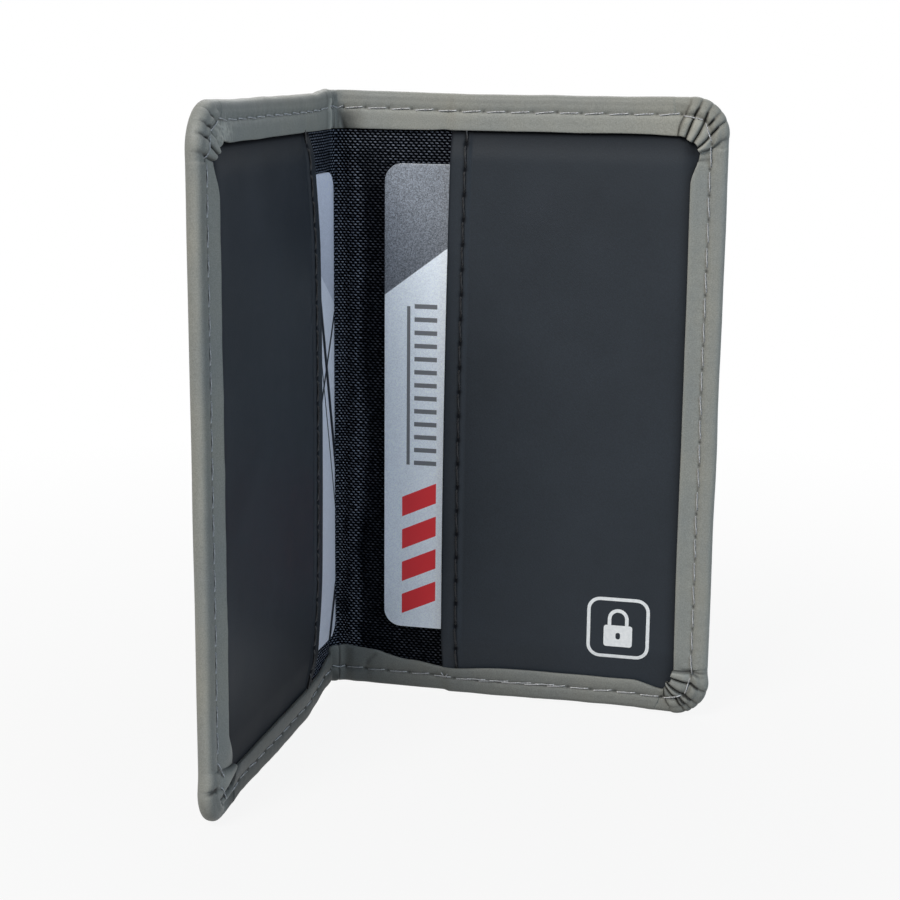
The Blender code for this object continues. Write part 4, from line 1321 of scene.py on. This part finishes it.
def makeThreadTree():
    tree = bpy.data.node_groups.new("twistedStitches", "GeometryNodeTree")
    tree.interface.new_socket("Geometry", in_out="INPUT", socket_type="NodeSocketGeometry")
    for label, value in (("Thread radius", 0.0002), ("Ply depth", 0.24), ("Turns", 1.6)):
        tree.interface.new_socket(label, in_out="INPUT", socket_type="NodeSocketFloat").default_value = value
    tree.interface.new_socket("Sides", in_out="INPUT", socket_type="NodeSocketInt").default_value = 8
    tree.interface.new_socket("Thread", in_out="INPUT", socket_type="NodeSocketMaterial")
    tree.interface.new_socket("Geometry", in_out="OUTPUT", socket_type="NodeSocketGeometry")
    start = tree.nodes.new("NodeGroupInput")
    end = tree.nodes.new("NodeGroupOutput")
    curves = addNode(tree, "GeometryNodeMeshToCurve", {"Mesh": start.outputs["Geometry"]})
    along = addNode(tree, "GeometryNodeSplineParameter").outputs["Factor"]
    turned = calc(tree, "MULTIPLY", along, calc(tree, "MULTIPLY", start.outputs["Turns"], 2 * math.pi))
    tilted = addNode(tree, "GeometryNodeSetCurveTilt", {"Curve": curves.outputs[0], "Tilt": turned})
    kept = addNode(tree, "GeometryNodeStoreNamedAttribute",
                   {"Geometry": tilted.outputs[0], "Name": "alongThread", "Value": along},
                   data_type="FLOAT", domain="POINT")
    # two plies side by side: a circle drawn in at its waist
    circle = addNode(tree, "GeometryNodeCurvePrimitiveCircle",
                     {"Resolution": start.outputs["Sides"], "Radius": start.outputs["Thread radius"]})
    where = addNode(tree, "GeometryNodeInputPosition").outputs[0]
    parts = addNode(tree, "ShaderNodeSeparateXYZ", {0: where})
    side = calc(tree, "DIVIDE", calc(tree, "ABSOLUTE", parts.outputs[0]), start.outputs["Thread radius"])
    waist = calc(tree, "SUBTRACT", 1.0, calc(tree, "MULTIPLY", start.outputs["Ply depth"],
                                               calc(tree, "SUBTRACT", 1.0, side)))
    shaped = addNode(tree, "ShaderNodeVectorMath", {0: where}, operation="SCALE")
    tree.links.new(waist, shaped.inputs["Scale"])
    profile = addNode(tree, "GeometryNodeSetPosition", {"Geometry": circle.outputs[0], "Position": shaped.outputs[0]})
    roundShare = addNode(tree, "GeometryNodeSplineParameter").outputs["Factor"]
    keptRound = addNode(tree, "GeometryNodeStoreNamedAttribute",
                        {"Geometry": profile.outputs[0], "Name": "roundThread", "Value": roundShare},
                        data_type="FLOAT", domain="POINT")
    swept = addNode(tree, "GeometryNodeCurveToMesh",
                    {"Curve": kept.outputs[0], "Profile Curve": keptRound.outputs[0], "Fill Caps": True})
    first = addNode(tree, "GeometryNodeInputNamedAttribute", {"Name": "alongThread"}, data_type="FLOAT").outputs[0]
    second = addNode(tree, "GeometryNodeInputNamedAttribute", {"Name": "roundThread"}, data_type="FLOAT").outputs[0]
    joined = addNode(tree, "ShaderNodeCombineXYZ", {0: first, 1: second}).outputs[0]
    mapped = addNode(tree, "GeometryNodeStoreNamedAttribute",
                     {"Geometry": swept.outputs[0], "Name": "lay", "Value": joined},
                     data_type="FLOAT2", domain="CORNER")
    shaded = addNode(tree, "GeometryNodeSetShadeSmooth", {"Geometry": mapped.outputs[0]})
    whole = addNode(tree, "GeometryNodeRealizeInstances", {"Geometry": shaded.outputs[0]})
    painted = addNode(tree, "GeometryNodeSetMaterial",
                      {"Geometry": whole.outputs[0], "Material": start.outputs["Thread"]})
    tree.links.new(painted.outputs[0], end.inputs[0])
    return tree


threadTree = makeThreadTree()


def makeThreads(name, lines, radius, material):
    points, edges = [], []
    for line in lines:
        base = len(points)
        points += line
        edges += [(base + index, base + index + 1) for index in range(len(line) - 1)]
    mesh = bpy.data.meshes.new(name + "Lines")
    mesh.from_pydata(points, edges, [])
    path = bpy.data.objects.new(name + "Lines", mesh)
    bpy.context.scene.collection.objects.link(path)
    modifier = path.modifiers.new("stitches", "NODES")
    modifier.node_group = threadTree
    sockets = {item.name: item.identifier for item in threadTree.interface.items_tree if item.in_out == "INPUT"}
    modifier[sockets["Thread radius"]] = radius * mm
    modifier[sockets["Turns"]] = stitches["turns"]
    modifier[sockets["Sides"]] = stitches["sides"]
    modifier[sockets["Thread"]] = material
    bpy.context.view_layer.update()
    graph = bpy.context.evaluated_depsgraph_get()
    plain = bpy.data.meshes.new_from_object(path.evaluated_get(graph))
    bpy.data.objects.remove(path)
    return makeObject(name, plain, material)


# One stitch from hole to hole, over whatever is highest between them, its ends down in the holes
def stitchLine(side, first, second, surface, radius, seed, front=True, half=False):
    count = stitches["points"]
    dx, dz = second[0] - first[0], second[1] - first[1]
    length = math.hypot(dx, dz)
    straight = ramp(max(abs(dx), abs(dz)) / length, 0.92, 0.07)
    lean = stitches["slant"] * (0.85 + 0.3 * math.sin(seed * 2.4)) * straight / length
    spots = []
    for index in range(count):
        share = index / (count - 1)
        spread = share if half else (share - 0.5) * stitches["reach"] + 0.5
        across = mix(first[0], second[0], spread) - dz * lean * (share - 0.5)
        up = mix(first[1], second[1], spread) + dx * lean * (share - 0.5)
        spots.append((across, up, share, surface(across, up)))
    line = []
    for index, (across, up, share, level) in enumerate(spots):
        if share == 0.0 or share == 1.0 and not half:
            depth = level - stitches["dive"]
        else:
            # pulled tight, it goes straight from one high place to the next
            depth = max(mix(spots[low][3], spots[high][3], (index - low) / max(1, high - low))
                        for low in range(index + 1) for high in range(index, count))
            depth += radius * 0.62 - 0.05 * (abs(share - 0.5) * 2) ** 3
        line.append(place(side, across, depth if front else -depth, up))
    return line


# The hem's face under a stitch, found among the stations near a number
def hemSurface(side, stations, number):
    def surface(across, up):
        best = None
        for station in stations[max(0, number - 60):number + 60]:
            outer = Vector(station["outer"])
            along = Vector(station["inner"]) - outer
            point = Vector((across, up)) - outer
            off = abs(point.x * along.y - point.y * along.x) / along.length
            if best is None or off < best[0]:
                best = (off, station, point.dot(along) / along.length)
        _, station, inset = best
        level = edgeThickness(side, station["outer"][0]) + hemRelief(station, inset, [])[0]
        if side == "left" and up < 5.0:
            level -= 0.07
        return level + hemClimb(side, across, up, inset)
    return surface


def edgeLines(side, stations, holes):
    front, behind = [], []
    radius = stitches["radius"]

    def sew(first, second, number, seed, half=False):
        front.append(stitchLine(side, first, second, hemSurface(side, stations, number), radius, seed, half=half))

    def sewBehind(first, second, seed, half=False):
        behind.append(stitchLine(side, first, second, lambda across, up: -stitches["sink"], radius, seed, False, half))

    def seamPoint(number):
        return stationPoint(stations[number], edge["stitchInset"])

    def extra(first, second, seed):
        middle = (Vector(first) + Vector(second)) / 2
        near = min(range(len(stations)), key=lambda number: (Vector(seamPoint(number)) - middle).length)
        sew(first, second, near, seed)

    for index, (first, second) in enumerate(zip(holes, holes[1:])):
        if side == "right" or first[0] <= reach - 8.5 or first[1] >= 9.0:      # long ones lie round the left corner
            sew(first, second, (first[2] + second[2]) // 2, index)
        sewBehind(first, second, index + 50)
    # half of the stitch that crosses the fold, at each end
    for hole, number, seed in ((holes[0], 0, 0), (holes[-1], len(stations) - 1, 1)):
        middle = (foldMiddle, seamPoint(number)[1])
        sew(hole, middle, number, seed, half=True)
        sewBehind(hole, middle, seed, half=True)
    if side == "right":
        low, high = stitches["doubled"]
        for index, (first, second, third) in enumerate(zip(holes, holes[1:], holes[2:])):
            if second[1] < 4.0 and low < first[0] and third[0] < high:
                extra((mix(first[0], second[0], 0.45), first[1] + 0.22),
                      (mix(second[0], third[0], 0.55), third[1] + 0.10), index + 7)
        for first, second in stitches["knot"]:
            extra(first, second, 3)
    else:
        for first, second in stitches["long"]:
            extra((reach - first[0], first[1]), (reach - second[0], second[1]), 5)
    return front + behind


for side in sides:
    made = makeThreads("edgeStitches" + side.capitalize(), edgeLines(side, *covers[side][1:]), stitches["radius"],
                       greyThread)
    blendFold(made, side)
    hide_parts("edge_thread_" + side, *(("spine_thread_top", "spine_thread_bottom") if side == "right" else ()))
    holes = pockets[side][1]
    lines = [stitchLine(side, first, second, lambda across, up: pocketTop(side, across, up), stitches["blackRadius"],
                        index) for index, (first, second) in enumerate(zip(holes, holes[1:]))]
    made = makeThreads("pocketStitches" + side.capitalize(), lines, stitches["blackRadius"], blackThread)
    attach(made, side + "_panel")
    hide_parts("pocket_thread_" + side)


print("stitches made")
# Plain padlock sign on the right pocket
sign = {
    "across": 55.0,
    "up": 15.1,
    "size": 11.4,
    "line": 0.62,
    "lift": 0.012,
    "sink": 0.06,
    "rows": 4,
    "spacing": 0.5,
    "corner": 2.4,
    # half width, half height and corner radius, about a middle this far below the sign's
    "body": (2.6, 2.0, 0.5),
    "keyhole": (0.42, 0.62, 0.4),
    "drop": 1.5,
    # outer and inner radius of the shackle, the height of its bend's middle and of its feet
    "shackle": (1.9, 1.25),
    "bend": 1.7,
    "feet": 0.5,
}


def printMaterial():
    made, tree, shader = newMaterial("whitePrint")
    share = fromNoise(tree, noiseAt(tree, objectPlace(tree), 1800.0, 4.0))
    colour = mixColour(tree, share, (0.66, 0.68, 0.70, 1), (0.78, 0.79, 0.80, 1))
    fillInputs(tree, shader, {"Base Color": colour, "Roughness": 0.5})
    return made


# Pairs of points across a band, close together along it
def bandPairs(outer, inner, closed):
    pairs = []
    count = len(outer)
    for index in range(count if closed else count - 1):
        after = (index + 1) % count
        parts = max(1, int(math.dist(outer[index], outer[after]) / sign["spacing"]))
        for part in range(parts):
            pairs.append([(mix(line[index][0], line[after][0], part / parts),
                           mix(line[index][1], line[after][1], part / parts)) for line in (outer, inner)])
    return pairs if closed else pairs + [(outer[-1], inner[-1])]


def shackleLine(radius):
    turns = [math.radians(degrees) for degrees in range(0, 181, 12)]
    bent = [(radius * math.cos(turn), sign["bend"] + radius * math.sin(turn)) for turn in turns]
    return [(radius, sign["feet"])] + bent + [(-radius, sign["feet"])]


def makeSign():
    half, line = sign["size"] / 2, sign["line"]
    border = [roundedBox(0.0, 0.0, half - inset, half - inset, sign["corner"] - inset, 8) for inset in (0.0, line)]
    body = [roundedBox(0.0, -sign["drop"], *sign[part], 8) for part in ("body", "keyhole")]
    shackle = [shackleLine(radius) for radius in sign["shackle"]]
    rows = sign["rows"]
    flat, faces = [], []
    for (outer, inner), closed in ((border, True), (body, True), (shackle, False)):
        pairs = bandPairs(outer, inner, closed)
        base = len(flat)
        for first, second in pairs:
            flat += [(mix(first[0], second[0], row / (rows - 1)), mix(first[1], second[1], row / (rows - 1)))
                     for row in range(rows)]
        for index in range(len(pairs) if closed else len(pairs) - 1):
            for row in range(rows - 1):
                low, high = base + index * rows + row, base + (index + 1) % len(pairs) * rows + row
                faces.append((low, high, high + 1, low + 1))
    points = []
    for layer in (sign["lift"], -sign["sink"]):
        for x, y in flat:
            across, up = sign["across"] + x, sign["up"] + y
            points.append(place("right", across, pocketTop("right", across, up) + layer, up))
    count = len(flat)
    faces += [tuple(reversed([index + count for index in face])) for face in faces]

    def joinLayers(form):
        form.verts.ensure_lookup_table()
        for rim in [rim for rim in form.edges if rim.is_boundary and rim.verts[0].index < count]:
            first, second = rim.verts
            form.faces.new((first, second, form.verts[second.index + count], form.verts[first.index + count]))

    mesh = closeMesh(newMesh("lockSign", points, faces, {}), mend=joinLayers)
    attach(makeObject("lockSign", mesh, printMaterial()), "right_panel")


makeSign()
print("sign made")


# Boards keep their CAD shape and get a fibrous finish
def boardMaterial():
    made, tree, shader = newMaterial("greyBoard")
    where = objectPlace(tree)
    fibres = noiseAt(tree, where, 2200.0, 6.0)
    colour = mixColour(tree, fromNoise(tree, fibres), (0.20, 0.19, 0.17, 1), (0.34, 0.32, 0.29, 1))
    fleck = mapRange(tree, cellsAt(tree, where, 900.0)["Distance"], 0.0, 0.25, 0.75, 1.0)
    colour = mixColour(tree, 1.0, colour, fleck, "MULTIPLY")
    fillInputs(tree, shader, {"Base Color": colour, "Normal": bumped(tree, fibres, 0.00006, 0.7), "Roughness": 0.88})
    return made


boardFinish = boardMaterial()
for side in sides:
    for slot in bpy.data.objects["board_" + side].material_slots:
        slot.material = boardFinish


# Pale floor, white surroundings and soft lamps
studio = {
    "world": 0.22,
    "worldColour": (0.87, 0.94, 1.0, 1),
    "floor": (0.34, 0.34, 0.34, 1),
    "floorSize": 6.0,
    "floorLevel": -1.0,     # mm: the holder stands on its drooping corners
    "shadow": (0.06, 0.28, 0.90, 1.0),      # where the camera's floor turns white, from and to in metres, and how white
    "aim": (0.0, 0.0, 0.055),
    # name: place, size, power in watts, colour
    "lamps": {
        "key": ((-0.33, -0.83, 0.84), 0.55, 13.2, (1.0, 0.975, 0.93)),
        "side": ((0.75, -0.30, 0.30), 0.50, 2.25, (0.60, 0.80, 1.0)),
        "back": ((-0.10, 0.55, 0.55), 0.50, 1.6, (1.0, 1.0, 1.0)),
    },
}


def seenRays(tree):
    rays = addNode(tree, "ShaderNodeLightPath").outputs
    seen = calc(tree, "ADD", rays["Is Camera Ray"], rays["Is Glossy Ray"])
    return calc(tree, "ADD", seen, rays["Is Transmission Ray"], clamp=True)


def emptyTree(owner):
    owner.use_nodes = True
    owner.node_tree.nodes.clear()
    return owner.node_tree


def mixShaders(tree, output, share, first, second):
    joined = addNode(tree, "ShaderNodeMixShader", {0: share, 1: first.outputs[0], 2: second.outputs[0]})
    addNode(tree, output, {0: joined.outputs[0]})


def makeStudio(values):
    scene = bpy.context.scene
    scene.view_settings.view_transform = "Standard"
    scene.world = bpy.data.worlds.new("studio")
    tree = emptyTree(scene.world)
    lit = addNode(tree, "ShaderNodeBackground", {"Color": values["worldColour"], "Strength": values["world"]})
    white = addNode(tree, "ShaderNodeBackground", {"Color": (1, 1, 1, 1), "Strength": 1.0})
    mixShaders(tree, "ShaderNodeOutputWorld", seenRays(tree), lit, white)
    size, level = values["floorSize"], values["floorLevel"] * mm
    mesh = newMesh("floor", [(x * size, y * size, level) for x, y in ((-1, -1), (1, -1), (1, 1), (-1, 1))],
                   [(0, 1, 2, 3)], {})
    floor = bpy.data.objects.new("floor", mesh)
    scene.collection.objects.link(floor)
    paint = bpy.data.materials.new("paleFloor")
    tree = emptyTree(paint)
    matt = addNode(tree, "ShaderNodeBsdfPrincipled", {"Base Color": values["floor"], "Roughness": 0.9})
    white = addNode(tree, "ShaderNodeEmission", {"Color": (1, 1, 1, 1), "Strength": 1.0})
    away = addNode(tree, "ShaderNodeVectorMath", {0: objectPlace(tree)}, operation="LENGTH").outputs["Value"]
    share = calc(tree, "MULTIPLY", seenRays(tree), mapRange(tree, away, *values["shadow"]))
    mixShaders(tree, "ShaderNodeOutputMaterial", share, matt, white)
    mesh.materials.append(paint)
    for name, (where, size, power, colour) in values["lamps"].items():
        lamp = bpy.data.lights.new(name, "AREA")
        lamp.shape = "DISK"
        lamp.size = size
        lamp.energy = power
        lamp.color = colour
        made = bpy.data.objects.new(name, lamp)
        scene.collection.objects.link(made)
        made.location = where
        target = Vector(values["aim"]) - Vector(where)
        made.rotation_euler = target.to_track_quat("-Z", "Y").to_euler()


makeStudio(studio)
print("studio made")

bpy.context.view_layer.update()
